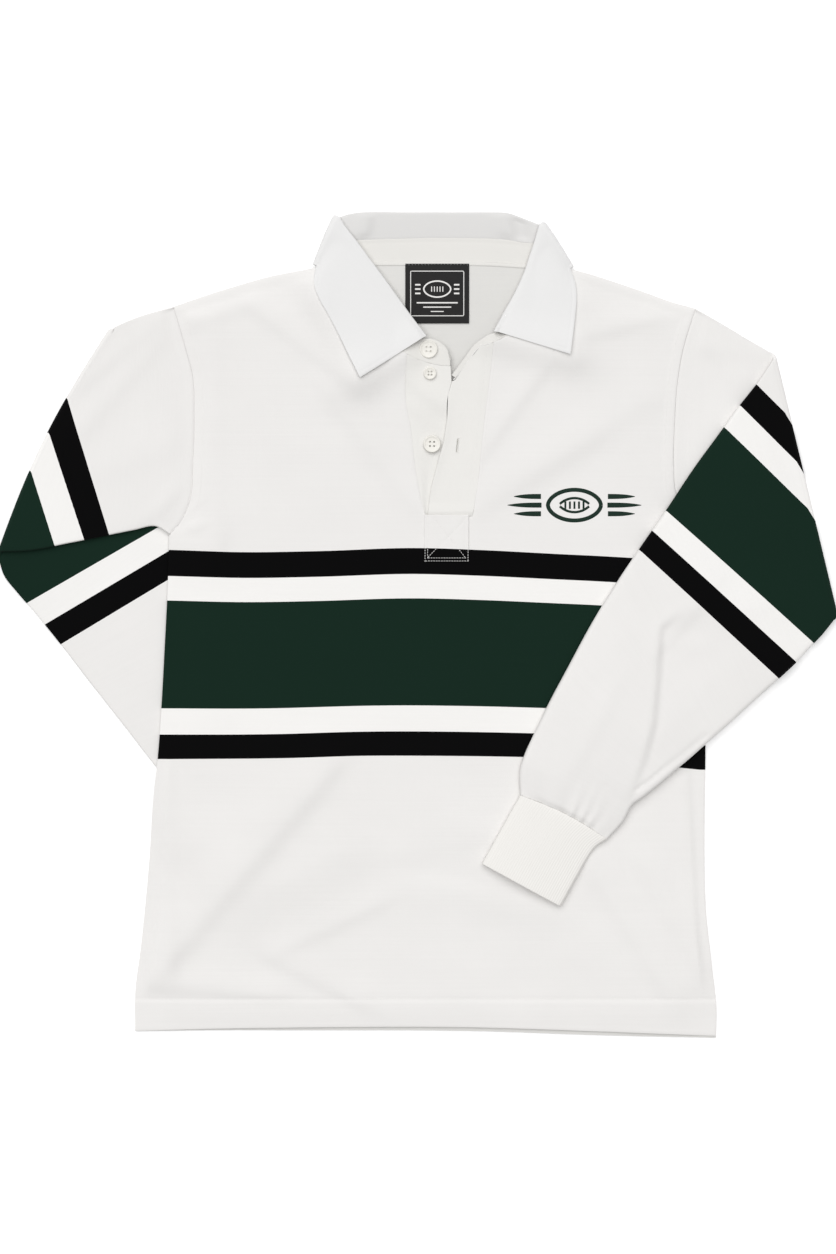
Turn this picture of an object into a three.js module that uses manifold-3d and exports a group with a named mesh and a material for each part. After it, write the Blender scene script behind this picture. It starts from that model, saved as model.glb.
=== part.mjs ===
// Rugby shirt laid out flat, one forearm folded over the front, the other folded beneath.
// Millimetres. +X runs to the right across the laid shirt, +Y towards the collar, +Z up off the table.
import * as THREE from 'three';
import ManifoldModule from 'manifold-3d';

const kernel = await ManifoldModule();
kernel.setup();

// Cloth thicknesses and the gaps kept between pieces
const jersey = 1.2;
const collarCloth = 1.4;
const cuffRib = 1.6;
const labelCloth = 1.0;
const seamGap = 0.4;

// How the layers lie on each other
const bodyPuff = 3.0;        // air between back and front in the middle of the body
const hemTurn = 0.7;         // extra thickness where the hem is turned up
const hemDepth = 29;
const armRise = 5.4;         // lift of the cloth above the forearm that lies beneath
const armRamp = 60;
const neckRise = 2.5;        // lift of the back above the collar folded beneath it
const neckRamp = 48;
const frontNeck = 6.8;       // height of the front's underside round the neck
const collarRoll = 1.4;      // half the height of the collar's rolled edge
const tubeEdge = 0.75;       // half the air inside a sleeve's folded edge
const overBody = 7.95;       // middle height of the forearm that lies over the front

// Grid sizes
const columns = 24;
const neckFrom = 7;          // columns between which the neckline runs
const neckTo = 18;
const sideRows = 19;
const across = 10;           // steps from one edge of a sleeve to the other

// Outline of the body, each row x y
const sideLeft = [              // hem to underarm
  [-261.3, -376.5], [-260.9, -338.1], [-256.2, -301.1], [-248.8, -227.1], [-243.3, -153.1],
  [-239.9, -123.5], [-236.5, -76.3], [-233.6, -23.6], [-230.3, 45.8], [-229.4, 82.8],
];
const sideRight = [
  [277, -381.1], [277.5, -356.6], [273.8, -319.6], [267.8, -264.1], [266.4, -190.1], [267.3, -125.3],
  [267.3, -69.8], [265.5, 13.4], [263.6, 50.4], [262.7, 82.8],
];
const armholeLeft = [           // underarm to shoulder tip
  [-229.4, 82.8], [-220.5, 92.4], [-211.8, 109.6], [-207.3, 153.5], [-206.5, 194.7], [-208.1, 231.2],
  [-214, 254.3], [-220.2, 276.1], [-225.7, 294.6],
];
const armholeRight = [
  [262.7, 82.8], [253.5, 93], [245.1, 109.6], [240, 121.6], [237.7, 146.8], [238.5, 185.1],
  [240.8, 220.6], [247, 257.2], [252.5, 276.1], [258.1, 292.8],
];
const shoulderLeft = [          // tip to neck point
  [-225.7, 294.6], [-190.6, 306.6], [-166.5, 314], [-140.6, 321.4], [-101.8, 328.8], [-82.3, 332.5],
];
const shoulderRight = [         // neck point to tip
  [132.3, 330.7], [142.5, 328.8], [170.2, 321.4], [193.3, 314], [214.6, 306.6], [235, 299.2],
  [258.1, 292.8],
];
const neckBack = [
  [-82.3, 332.5], [-46.2, 334.9], [18.5, 335.3], [65.7, 334.9], [99.9, 332.5], [132.3, 330.7],
];
const hemFront = [
  [-261.3, -376.5], [-189.6, -374.4], [-108.2, -373.2], [58.3, -373.2], [169.3, -376.9], [277, -381.1],
];
const hemBack = [
  [-261.3, -376.8], [-189.6, -376], [-108.2, -376], [58.3, -376.9], [169.3, -380.6], [277, -383],
];

// Placket: slot in the front and the two strips sewn into it, foot to top, each row x y
const slotLeft = [
  [7.9, 99.9], [3.7, 116.1], [-2.8, 154.4], [-5.6, 180.8], [-10.2, 205.8], [-9.2, 251],
];
const slotRight = [
  [51.3, 99.9], [56.4, 132.7], [60.1, 170.7], [64.3, 205.8], [68, 235.4], [70.5, 261],
];
const upperFreeEdge = [
  [10.1, 100.4], [11.5, 116.1], [13.7, 128.3], [19.8, 151.2], [24.9, 169.7], [27.9, 189.6],
  [28.7, 212.7], [32.2, 224.8],
];
const underFreeEdge = [
  [44.4, 100.4], [39.8, 129], [34.2, 154], [29.6, 175.3], [25.9, 193.8], [25.7, 205.8], [26.8, 216.9],
  [31, 238.3],
];
const underTop = [[-8.8, 248.8], [0.9, 244.0], [12, 240.7], [21.3, 238.9], [31, 238.3]];
const upperTop = [[32.2, 224.8], [35.7, 225.6], [48.2, 243.6], [58.8, 255.9], [69.8, 259.1]];
const stripDrop = 1.9;       // how far the under strip sinks where the upper one covers it

// Soft folds pressed into the front, each row x0 y0 x1 y1 depth width
const frontFolds = [
  [-96, -142, -222, -299, 0.9, 24],
  [-42, -261, -104, -291, 0.6, 20],
  [166, -238, 259, -332, 0.9, 22],
  [-108, 314, -143, 254, 0.8, 22],
  [178, 300, 132, 189, 0.8, 24],
  [-173, 272, -187, 143, 0.7, 22],
];
const forearmCrease = [[237.7, 11.6], [222.5, -2.3], [220.7, -46.7], [216.4, -91.1], [207.2, -126.3],
  [197, -155]];

// Sleeves, each row from the outer edge ax ay to the under edge bx by, then the puff of its upper side
const armOver = {
  upper: [[284.9, 277, 308, 56, 1.3], [308, 263.2, 348.7, 32.8, 0.9], [322.8, 254.8, 372.8, 19, 0.3]],
  elbow: [332.1, 249.3, 389.4, 9.7],
  fore: [
    [314.5, 222.5, 374.6, -8.8, 0.5], [298.8, 201.2, 361.7, -20.8, 1.2], [284.5, 180.5, 349.7, -32.8, 1.8],
    [257.2, 142.9, 332.6, -48.6, 2.4], [231.8, 104.5, 310.8, -68, 2.8], [209.1, 71.7, 288.6, -88.3, 3.1],
    [186.9, 38.8, 267.3, -106.8, 3.3], [161.9, -2.3, 250.7, -121.6, 3.4],
    [140.6, -42.1, 236.8, -133.3, 3.4], [123, -75.4, 220.2, -147.5, 3.3],
    [111.9, -98.5, 206.3, -158.6, 3.2], [101.8, -120.4, 196.1, -166.5, 3.0],
    [96.2, -139.2, 186.9, -183.6, 2.5], [96.7, -157.7, 174.8, -197.5, 1.6],
  ],
  cuff: [
    [96, -159.1, 172.5, -199.3, 1.6], [89.7, -169.7, 163.7, -205.4, 2.2],
    [81.4, -184.5, 156.8, -215.1, 2.4], [71.2, -203, 146.2, -233.6, 2.4],
    [61.1, -221.4, 131.8, -259.9, 2.2],
  ],
  out: [0.9726, 0.2326],       // away from the arm, across the elbow fold
  bend: 2.8,
  turn: 1,                     // forearm goes over
};
const armUnder = {
  upper: [[-250.7, 287.2, -270.1, 84.6, 1.4], [-270.1, 279.8, -321, 75.4, 1.2],
    [-280.3, 274.7, -363.5, 68, 0.5]],
  elbow: [-286.8, 271.5, -389.4, 65.2],
  fore: [
    [-270.1, 218.8, -383, 45.8, 0], [-249.8, 156.8, -370.9, 30.1, 0], [-230.3, 97.6, -352.4, 8.8, 0],
    [-209.1, 52.3, -330.2, -18.5, 0], [-185, 2.3, -300.6, -56.9, 0], [-161, -47.6, -270.1, -95.7, 0],
    [-137.8, -95.7, -240.5, -133.7, 0], [-122.1, -128.1, -211.8, -167.9, 0],
    [-114.2, -144.8, -195.2, -188.2, 0],
  ],
  cuff: [
    [-113.8, -146.2, -193.8, -189.6, 0], [-111, -154.9, -185.9, -196.6, 0],
    [-101.8, -172.5, -173, -215.1, 0], [-91.6, -191, -161.9, -232.6, 0],
    [-81.9, -208.6, -151.7, -249.3, 0],
  ],
  out: [-0.8954, 0.4453],
  bend: 2.7,
  turn: -1,                    // forearm goes beneath
  bulge: 8,                    // the elbow fold bows outward by this much
};

// Collar, each row: neck seam, seam of stand and leaf, rolled edge, outer edge of the leaf (x y each)
const collarFrontLeft = [
  [0.9, 244.7, 5.2, 264.4, 9.1, 266.9, -52.5, 227.5], [-18, 255.2, -6.8, 279.3, -3.7, 283.5, -62.9, 248.4],
  [-36, 270.5, -22.9, 292.1, -15.7, 300.2, -73.1, 269.6], [-52, 287.6, -38.7, 308.7, -29.6, 319.6, -82.3, 286.8],
  [-65, 304.2, -54.5, 326.2, -43.5, 338.1, -91.1, 302.9], [-74.5, 317.5, -66.4, 340.1, -56.4, 355.7, -95, 315],
  [-79.5, 327, -72, 349.4, -64.8, 366.8, -94.4, 324.2],
];
const collarFoldLeft = [-81.9, 333.2, -74.9, 355.6, -68.9, 373.2, -92, 330.2];
const collarBack = [
  [-72, 333.9, -68.5, 354.3, -64.8, 376.9, -85.1, 326.5], [-59, 334.8, -56.4, 355.7, -55.5, 380.2, -74, 324.2],
  [-43, 335.5, -41.6, 356.6, -40.7, 381.6, -48.1, 323.8], [-13.9, 335.8, -13.9, 357.5, -13.9, 382, -13.9, 323.8],
  [18.5, 336, 18.5, 358.2, 18.5, 382, 18.5, 323.8], [45, 335.8, 44.4, 358, 44.4, 382, 49, 323.8],
  [70, 335.2, 67.5, 357.5, 67.5, 382, 76.8, 323.8], [90, 333.9, 84.2, 356.1, 83.2, 380.2, 99.9, 324.2],
  [108, 332.8, 98.1, 353.8, 96.6, 375.1, 118.4, 325.1], [122, 332, 111, 352.4, 105.5, 370.5, 132.3, 327],
];
const collarFoldRight = [132, 331.4, 120.7, 352, 111.5, 367.7, 141.1, 328.4];
const collarFrontRight = [
  [129.5, 322.5, 115.2, 342.7, 109.2, 356.6, 145.2, 319.6], [125.2, 311.5, 109.2, 332.5, 104.5, 342.7, 147.1, 307.6],
  [118.5, 300.5, 101.2, 318.2, 99, 326.1, 146.9, 295.5], [109, 290, 94.9, 305.6, 90.7, 307.6, 145.5, 281.7],
  [96, 276.5, 85.7, 289.3, 81.4, 290.9, 143.8, 267.8], [78, 263.9, 75.1, 269.7, 70.7, 271.1, 141.4, 249.3],
];
const foldOutLeft = [-0.88, 0.48];
const foldOutRight = [0.80, 0.60];

// The stand's ends beyond the leaf, each row: neck edge x y, free edge x y
const buttonEnd = [[30.5, 239.2, 30.5, 245.1], [28.2, 239.2, 28.2, 253.9], [21.3, 239.7, 22.2, 260.4],
  [12, 241.5, 13.9, 264.2]];
const holeEnd = [[70.3, 260.2, 68.5, 268.6], [58.3, 256.7, 54.4, 259.5], [47.5, 244.2, 43.5, 246.5],
  [35.6, 228.4, 31.8, 230.8]];

// Small pieces
const label = { left: -10.9, right: 48.3, top: 334.2, bottom: 279.0 };
const buttonRows = [           // name, x, y, radius
  ['button_stand', 10.7, 254.4, 8.2], ['button_small', 12, 232.2, 5.8], ['button_front', 13.9, 167.0, 8.0],
];
const buttonThick = 2.4;

const cream = 0xefeeec;
const clothLook = { color: cream, roughness: 0.92, metalness: 0 };
const labelLook = { color: 0x0c0b0a, roughness: 0.8, metalness: 0 };
const buttonLook = { color: 0xeeebe4, roughness: 0.35, metalness: 0 };

// Small mathematics
const mix = (a, b, t) => a + (b - a) * t;
const mix2 = (p, q, t) => [mix(p[0], q[0], t), mix(p[1], q[1], t)];
const clamp = (t) => Math.min(1, Math.max(0, t));
const ease = (t) => clamp(t) ** 2 * (3 - 2 * clamp(t));
const span = (p, q) => Math.hypot(q[0] - p[0], q[1] - p[1]);

// The point at a share t of a line's whole length
function onLine(line, t) {
  let left = clamp(t) * line.slice(1).reduce((sum, p, i) => sum + span(line[i], p), 0);
  for (let i = 1; i < line.length; i++) {
    const step = span(line[i - 1], line[i]);
    if (left <= step || i === line.length - 1) return mix2(line[i - 1], line[i], Math.min(1, left / step));
    left -= step;
  }
}

// Distance from a point to a run of straight pieces
function away(line, x, y) {
  let least = Infinity;
  for (let i = 1; i < line.length; i++) {
    const [p, q] = [line[i - 1], line[i]];
    const t = clamp(((x - p[0]) * (q[0] - p[0]) + (y - p[1]) * (q[1] - p[1])) / (span(p, q) ** 2 || 1));
    least = Math.min(least, span([x, y], mix2(p, q, t)));
  }
  return least;
}

function isInside(loop, x, y) {
  let inside = false;
  for (let i = 0, j = loop.length - 1; i < loop.length; j = i++) {
    const [p, q] = [loop[i], loop[j]];
    if ((p[1] > y) !== (q[1] > y) && x < (q[0] - p[0]) * (y - p[1]) / (q[1] - p[1]) + p[0]) inside = !inside;
  }
  return inside;
}

// Heights of the layers
const rowsOf = (rows, at) => rows.map((row) => [row[at], row[at + 1]]);
const hiddenArm = [
  [armUnder.elbow[0], armUnder.elbow[1]], ...rowsOf(armUnder.fore, 0), ...rowsOf(armUnder.cuff, 0),
  ...rowsOf(armUnder.cuff, 2).reverse(), ...rowsOf(armUnder.fore, 2).reverse(),
  [armUnder.elbow[2], armUnder.elbow[3]],
];
const neckLine = [
  ...rowsOf(collarFrontLeft, 0).reverse(), ...rowsOf(collarFrontRight, 0).reverse(),
];
const seamLines = [
  [...sideLeft, ...armholeLeft, ...shoulderLeft], [...sideRight, ...armholeRight, ...shoulderRight.slice().reverse()],
];

function armLift(x, y) {
  const out = away([...hiddenArm, hiddenArm[0]], x, y) * (isInside(hiddenArm, x, y) ? -1 : 1);
  return armRise * ease(1 - out / armRamp);
}

function backUnder(x, y) {
  return armLift(x, y) + neckRise * ease(1 - (away(neckBack, x, y) - 16) / neckRamp);
}

// Air between back and front: thin at the side and shoulder seams, wider where a sleeve is set in
function airAt(x, y) {
  const edge = Math.min(...seamLines.map((line) => away(line, x, y)));
  const armhole = ease((y - 84) / 40) * ease((296 - y) / 26);
  const shoulder = 0.9 * ease((x + 190) / 90) * ease((232 - x) / 90) * ease((y - 290) / 20);
  const seam = 0.35 + 1.15 * armhole + shoulder;
  const middle = mix(1.4, bodyPuff, ease((y + 376) / 70));
  return seam + (middle - Math.min(seam, middle)) * ease(edge / 45);
}

const inHem = (y) => (y < -345 ? 1 : 0);

function frontUnder(x, y) {
  const edge = Math.min(...seamLines.map((line) => away(line, x, y)));
  let z = backUnder(x, y) + jersey + hemTurn * inHem(y) + airAt(x, y);
  z = mix(z, frontNeck, ease(1 - (away(neckLine, x, y) - 16) / 100) * ease(edge / 40));
  for (const [x0, y0, x1, y1, depth, width] of frontFolds) {
    z -= depth * Math.exp(-((away([[x0, y0], [x1, y1]], x, y) / width) ** 2)) * ease(edge / 40);
  }
  return z;
}

// A closed body between an upper and a lower grid of points, [row][column]
function slab(upper, lower) {
  const rows = upper.length;
  const count = upper[0].length;
  const points = [...upper.flat(), ...lower.flat()];
  const at = (j, i) => j * count + i;
  const under = rows * count;
  const faces = [];
  const quad = (a, b, c, d) => faces.push(a, b, c, a, c, d);
  for (let j = 0; j < rows - 1; j++) {
    for (let i = 0; i < count - 1; i++) {
      quad(at(j, i), at(j, i + 1), at(j + 1, i + 1), at(j + 1, i));
      quad(under + at(j, i), under + at(j + 1, i), under + at(j + 1, i + 1), under + at(j, i + 1));
    }
    quad(at(j, 0), at(j + 1, 0), under + at(j + 1, 0), under + at(j, 0));
    quad(at(j, count - 1), under + at(j, count - 1), under + at(j + 1, count - 1), at(j + 1, count - 1));
  }
  for (let i = 0; i < count - 1; i++) {
    quad(at(0, i), under + at(0, i), under + at(0, i + 1), at(0, i + 1));
    quad(at(rows - 1, i), at(rows - 1, i + 1), under + at(rows - 1, i + 1), under + at(rows - 1, i));
  }
  return solid(points, faces);
}

// A closed tube wall between outer and inner rings, [row][point round the ring]
function tubeWall(outer, inner) {
  const rows = outer.length;
  const count = outer[0].length;
  const points = [...outer.flat(), ...inner.flat()];
  const at = (j, i) => j * count + (i % count);
  const within = rows * count;
  const faces = [];
  const quad = (a, b, c, d) => faces.push(a, b, c, a, c, d);
  for (let i = 0; i < count; i++) {
    for (let j = 0; j < rows - 1; j++) {
      quad(at(j, i), at(j, i + 1), at(j + 1, i + 1), at(j + 1, i));
      quad(within + at(j, i), within + at(j + 1, i), within + at(j + 1, i + 1), within + at(j, i + 1));
    }
    quad(at(0, i), within + at(0, i), within + at(0, i + 1), at(0, i + 1));
    quad(at(rows - 1, i), at(rows - 1, i + 1), within + at(rows - 1, i + 1), within + at(rows - 1, i));
  }
  return solid(points, faces);
}

// Indexed geometry facing outward, whichever way the grid ran
function solid(points, faces) {
  let volume = 0;
  for (let f = 0; f < faces.length; f += 3) {
    const [a, b, c] = [points[faces[f]], points[faces[f + 1]], points[faces[f + 2]]];
    volume += a.dot(b.clone().cross(c));
  }
  const index = volume > 0 ? faces : faces.slice().reverse();
  const geometry = new THREE.BufferGeometry().setFromPoints(points);
  geometry.setIndex(index);
  geometry.computeVertexNormals();
  return geometry;
}

// Cutting one closed body out of another
function toKernel(geometry) {
  return new kernel.Manifold(new kernel.Mesh({
    numProp: 3,
    vertProperties: Float32Array.from(geometry.attributes.position.array),
    triVerts: Uint32Array.from(geometry.index.array),
  }));
}

function cutAway(geometry, cutters) {
  let body = toKernel(geometry);
  for (const cutter of cutters) body = body.subtract(toKernel(cutter));
  const mesh = body.getMesh();
  const result = new THREE.BufferGeometry();
  result.setAttribute('position', new THREE.BufferAttribute(Float32Array.from(mesh.vertProperties), 3));
  result.setIndex(Array.from(mesh.triVerts));
  result.computeVertexNormals();
  return result;
}

// An upright prism over a closed outline, for cutting
function prism(outline, low, high) {
  const ring = outline.map(([x, y]) => new THREE.Vector2(x, y));
  if (THREE.ShapeUtils.isClockWise(ring)) ring.reverse();
  const count = ring.length;
  const points = [...ring.map((p) => new THREE.Vector3(p.x, p.y, high)),
    ...ring.map((p) => new THREE.Vector3(p.x, p.y, low))];
  const faces = [];
  for (const flat of THREE.ShapeUtils.triangulateShape(ring, [])) {
    const [a, b, c] = THREE.ShapeUtils.isClockWise(flat.map((k) => ring[k])) ? flat.slice().reverse() : flat;
    faces.push(a, b, c, count + a, count + c, count + b);
  }
  for (let i = 0; i < count; i++) {
    const next = (i + 1) % count;
    faces.push(i, count + i, count + next, i, count + next, next);
  }
  return solid(points, faces);
}

// A patch spread between four edges, [row][column] of x y
function patch(leftEdge, rightEdge, lowEdge, topEdge, heights) {
  const rows = leftEdge.length;
  const count = lowEdge.length;
  const grid = [];
  for (let j = 0; j < rows; j++) {
    const v = heights ? heights[j] : j / (rows - 1);
    grid.push(lowEdge.map((low, i) => {
      const u = i / (count - 1);
      const top = topEdge[i];
      return [0, 1].map((k) => mix(leftEdge[j][k], rightEdge[j][k], u) + mix(low[k], top[k], v)
        - mix(mix(lowEdge[0][k], lowEdge[count - 1][k], u), mix(topEdge[0][k], topEdge[count - 1][k], u), v));
    }));
  }
  return grid;
}

const lift = (grid, height) => grid.map((row) => row.map(([x, y]) => new THREE.Vector3(x, y, height(x, y))));
const steps = (count) => Array.from({ length: count + 1 }, (_, i) => i / count);

// Body: the back and the front share one grid, so their layers never cross
const sideShares = [0, 0.062, 0.068, ...steps(sideRows - 3).slice(1).map((t) => mix(0.068, 1, t))];
const armShares = [0.04, 0.09, 0.15, 0.23, 0.34, 0.47, 0.61, 0.75, 0.88, 1];
const bodyLeft = [...sideShares.map((t) => onLine(sideLeft, t)), ...armShares.map((t) => onLine(armholeLeft, t))];
const bodyRight = [...sideShares.map((t) => onLine(sideRight, t)), ...armShares.map((t) => onLine(armholeRight, t))];
const bodyTop = steps(columns).map((_, i) => (i < neckFrom ? onLine(shoulderLeft, i / neckFrom)
  : i <= neckTo ? onLine(neckBack, (i - neckFrom) / (neckTo - neckFrom))
    : onLine(shoulderRight, (i - neckTo) / (columns - neckTo))));
const rowHeights = bodyLeft.map(([, y]) => (y - sideLeft[0][1]) / (armholeLeft.at(-1)[1] - sideLeft[0][1]));

function bodyGrid(hem) {
  const low = steps(columns).map((t) => onLine(hem, t));
  const grid = patch(bodyLeft, bodyRight, low, bodyTop, rowHeights);
  grid[0] = low;
  return grid;
}

function bodyBack() {
  const grid = bodyGrid(hemBack);
  const turned = (x, y) => backUnder(x, y) + jersey + hemTurn * inHem(y);
  return slab(lift(grid, turned), lift(grid, backUnder));
}

function offsetFrom(rows, side) {
  return rows.map(([nx, ny, qx, qy]) => {
    const d = span([nx, ny], [qx, qy]);
    return [nx - side * (qx - nx) / d, ny - side * (qy - ny) / d];
  });
}

function bodyFront() {
  const grid = bodyGrid(hemFront);
  const over = (x, y) => frontUnder(x, y) + jersey + hemTurn * inHem(y);
  const panel = slab(lift(grid, over), lift(grid, frontUnder));
  const left = offsetFrom([...collarFrontLeft, collarFoldLeft], seamGap);
  const right = offsetFrom([collarFoldRight, ...collarFrontRight, holeEnd[0]], seamGap);
  const neck = [[-82.6, 345], [-82.6, 333.2], ...left.slice(0, -1).reverse(), [20, 236], ...right.slice(1).reverse(),
    [132.6, 331.2], [132.6, 345]];
  const slot = [...slotLeft, ...slotRight.slice().reverse()];
  return cutAway(panel, [prism(neck, -20, 40), prism(slot, -20, 40)]);
}

// Placket strips
function strip(leftEdge, rightEdge, topEdge, height) {
  const rows = 9;
  const count = 6;
  const left = steps(rows).map((t) => onLine(leftEdge, t));
  const right = steps(rows).map((t) => onLine(rightEdge, t));
  const low = steps(count).map((t) => mix2(left[0], right[0], t));
  const top = steps(count).map((t) => onLine(topEdge, t));
  const grid = patch(left, right, low, top);
  return slab(lift(grid, (x, y) => height(x, y) + jersey), lift(grid, height));
}

// Where the upper strip covers the under one, that one sinks by its own thickness and a little air
function underHeight(x, y) {
  const covered = ease((212 - y) / 26);
  const t = clamp((y - 99.9) / 151);
  const seam = onLine(slotLeft, t)[0];
  const free = onLine(upperFreeEdge, t)[0];
  const sunk = Math.max(ease((x - seam) / Math.max(4, free - seam - 2)), ease((150 - y) / 30));
  return frontUnder(x, y) - stripDrop * covered * sunk;
}

const shiftX = (line, by) => line.map(([x, y]) => [x + by, y]);
const placketUnder = () => strip(shiftX(slotLeft.slice(0, -1), seamGap).concat([underTop[0]]), underFreeEdge,
  underTop, underHeight);
const placketUpper = () => strip(upperFreeEdge, shiftX(slotRight.slice(0, -1), -seamGap).concat([upperTop.at(-1)]),
  upperTop, frontUnder);

// One ring round a sleeve: base points from edge to edge, the way its upper side faces, and half its air
function ringAt(base, middles, facing, shift, up, down, thick) {
  const point = (k, offset, slide = 0) => {
    const next = Math.min(k + 1, base.length - 1);
    const last = Math.max(k - 1, 0);
    const d = span(base[last], base[next]);
    const along = [(base[next][0] - base[last][0]) / d, (base[next][1] - base[last][1]) / d];
    return new THREE.Vector3(
      base[k][0] + shift[0] + along[0] * slide + facing.x * offset,
      base[k][1] + shift[1] + along[1] * slide + facing.y * offset,
      middles[k] + shift[2] + facing.z * offset,
    );
  };
  const end = base.length - 1;
  const edge = tubeEdge + thick;
  const ring = [];
  for (let k = 0; k <= end; k++) ring.push(point(k, up[k] + thick));
  for (const turn of [45, 90, 135]) {
    const a = THREE.MathUtils.degToRad(turn);
    ring.push(point(end, edge * Math.cos(a), edge * Math.sin(a)));
  }
  for (let k = end; k >= 0; k--) ring.push(point(k, -down[k] - thick));
  for (const turn of [135, 90, 45]) {
    const a = THREE.MathUtils.degToRad(turn);
    ring.push(point(0, edge * Math.cos(a), -edge * Math.sin(a)));
  }
  return ring;
}

const hump = (k) => Math.sin(Math.PI * k / across) ** 0.8;

function baseLine(ax, ay, bx, by, inset) {
  const d = span([ax, ay], [bx, by]);
  const t = inset / d;
  return steps(across).map((s) => mix2([ax, ay], [bx, by], mix(t, 1 - t, s)));
}

// The right forearm's upper side drops on the inner side of its long crease
function creaseDrop(x, y) {
  const near = away(forearmCrease, x, y);
  const ahead = forearmCrease.findIndex(([, cy]) => cy < y);
  if (ahead <= 0) return 0;
  const [p, q] = [forearmCrease[ahead - 1], forearmCrease[ahead]];
  const isRight = x > mix(p[0], q[0], (y - p[1]) / (q[1] - p[1]));
  return isRight ? 1.5 * ease(near / 9) * Math.exp(-near / 60) : 0;
}

function sleeveRings(arm, armhole, thick) {
  const rings = [];
  const edge = tubeEdge + jersey;
  const add = (base, middles, angle, up, down, shift = [0, 0, 0]) => {
    const a = THREE.MathUtils.degToRad(angle);
    const s = -arm.turn * Math.sin(a);
    const facing = new THREE.Vector3(arm.out[0] * s, arm.out[1] * s, Math.cos(a));
    rings.push(ringAt(base, middles, facing, shift, up, down, thick));
  };
  const level = steps(across).map(() => tubeEdge);
  const [tip, pit] = [armhole[0], armhole.at(-1)];
  const straight = baseLine(...tip, ...pit, edge);
  const bow = armhole.map((p, k) => [p[0] - mix(tip[0], pit[0], k / across), p[1] - mix(tip[1], pit[1], k / across)]);
  const ground = (base) => base.map(([x, y]) => (arm.turn < 0 ? armLift(x, y) : 0) + edge);
  const swell = (amount, k) => [amount * arm.out[0] * Math.sin(Math.PI * k / across),
    amount * arm.out[1] * Math.sin(Math.PI * k / across)];
  const sewn = armhole.map((p, k) => (k === 0 || k === across ? straight[k] : p));
  add(sewn, ground(sewn), 0, level, level);
  arm.upper.forEach(([ax, ay, bx, by, puff], n) => {
    const keep = (1 - (n + 1) / (arm.upper.length + 1)) ** 2;
    const bulge = (arm.bulge ?? 0) * (n + 1) / (arm.upper.length + 1);
    const base = baseLine(ax, ay, bx, by, edge).map((p, k) => {
      const out = swell(bulge, k);
      return [p[0] + bow[k][0] * keep + out[0], p[1] + bow[k][1] * keep + out[1]];
    });
    add(base, ground(base), 0, level.map((e, k) => e + puff * hump(k)), level);
  });
  const inset = arm.bend + edge;
  const axis = baseLine(...arm.elbow, edge).map((p, k) => {
    const out = swell(arm.bulge ?? 0, k);
    return [p[0] - arm.out[0] * inset + out[0], p[1] - arm.out[1] * inset + out[1]];
  });
  const top = (arm.turn < 0 ? armRise : 0) + edge;
  const middle = top + arm.turn * arm.bend;
  for (const angle of [0, 30, 60, 90, 120, 150, 180]) {
    const a = THREE.MathUtils.degToRad(angle);
    const reach = arm.bend * Math.sin(a);
    const rise = -arm.turn * arm.bend * Math.cos(a);
    add(axis, axis.map(() => middle), angle, level, level, [arm.out[0] * reach, arm.out[1] * reach, rise]);
  }
  const far = top + 2 * arm.turn * arm.bend;
  arm.fore.forEach(([ax, ay, bx, by, puff], n) => {
    const bulge = (arm.bulge ?? 0) * Math.max(0, 1 - (n + 1) / 3);
    const base = baseLine(ax, ay, bx, by, edge).map((p, k) => {
      const out = swell(bulge, k);
      return [p[0] + out[0], p[1] + out[1]];
    });
    const z = arm.turn > 0 ? mix(far, overBody, ease((n + 1) / 4)) : far;
    const topSide = level.map((e, k) => e + Math.max(0, puff * hump(k)
      - (arm.turn > 0 ? creaseDrop(...base[k]) * hump(k) : 0)));
    add(base, base.map(() => z), 180, level, topSide);
  });
  return rings;
}

function sleeve(arm, armhole) {
  return tubeWall(sleeveRings(arm, armhole, jersey), sleeveRings(arm, armhole, 0));
}

// Cuffs: short rib tubes whose upper side swells a little
function cuff(arm) {
  const lowSide = arm.turn > 0 ? overBody - tubeEdge - jersey : 0;
  const rings = (thick) => arm.cuff.map(([ax, ay, bx, by, puff]) => {
    const base = baseLine(ax, ay, bx, by, tubeEdge + cuffRib);
    const level = base.map(() => tubeEdge);
    const upper = level.map((e, k) => e + puff * hump(k));
    return ringAt(base, base.map(() => lowSide + tubeEdge + cuffRib), new THREE.Vector3(0, 0, 1), [0, 0, 0],
      upper, level, thick);
  });
  return tubeWall(rings(cuffRib), rings(0));
}

// Collar: sections that turn from the front (angle 90) round each shoulder fold to the back (angle -90)
const turns = [90, 60, 30, 0, -30, -60, -90];
const collarRows = [
  ...collarFrontLeft.map((row) => ({ row, angle: 90, out: foldOutLeft })),
  ...turns.map((angle) => ({ row: collarFoldLeft, angle, out: foldOutLeft })),
  ...collarBack.map((row) => ({ row, angle: -90, out: foldOutLeft })),
  ...turns.slice().reverse().map((angle) => ({ row: collarFoldRight, angle, out: foldOutRight })),
  ...collarFrontRight.map((row) => ({ row, angle: 90, out: foldOutRight })),
];

// A point that is at the front height, at the back height, or on its way round the fold between them
function turned([x, y], frontZ, backZ, { angle, out }) {
  const a = THREE.MathUtils.degToRad(angle);
  const half = (frontZ - backZ) / 2;
  return new THREE.Vector3(x + out[0] * half * Math.cos(a), y + out[1] * half * Math.cos(a),
    (frontZ + backZ) / 2 + half * Math.sin(a));
}

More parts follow.
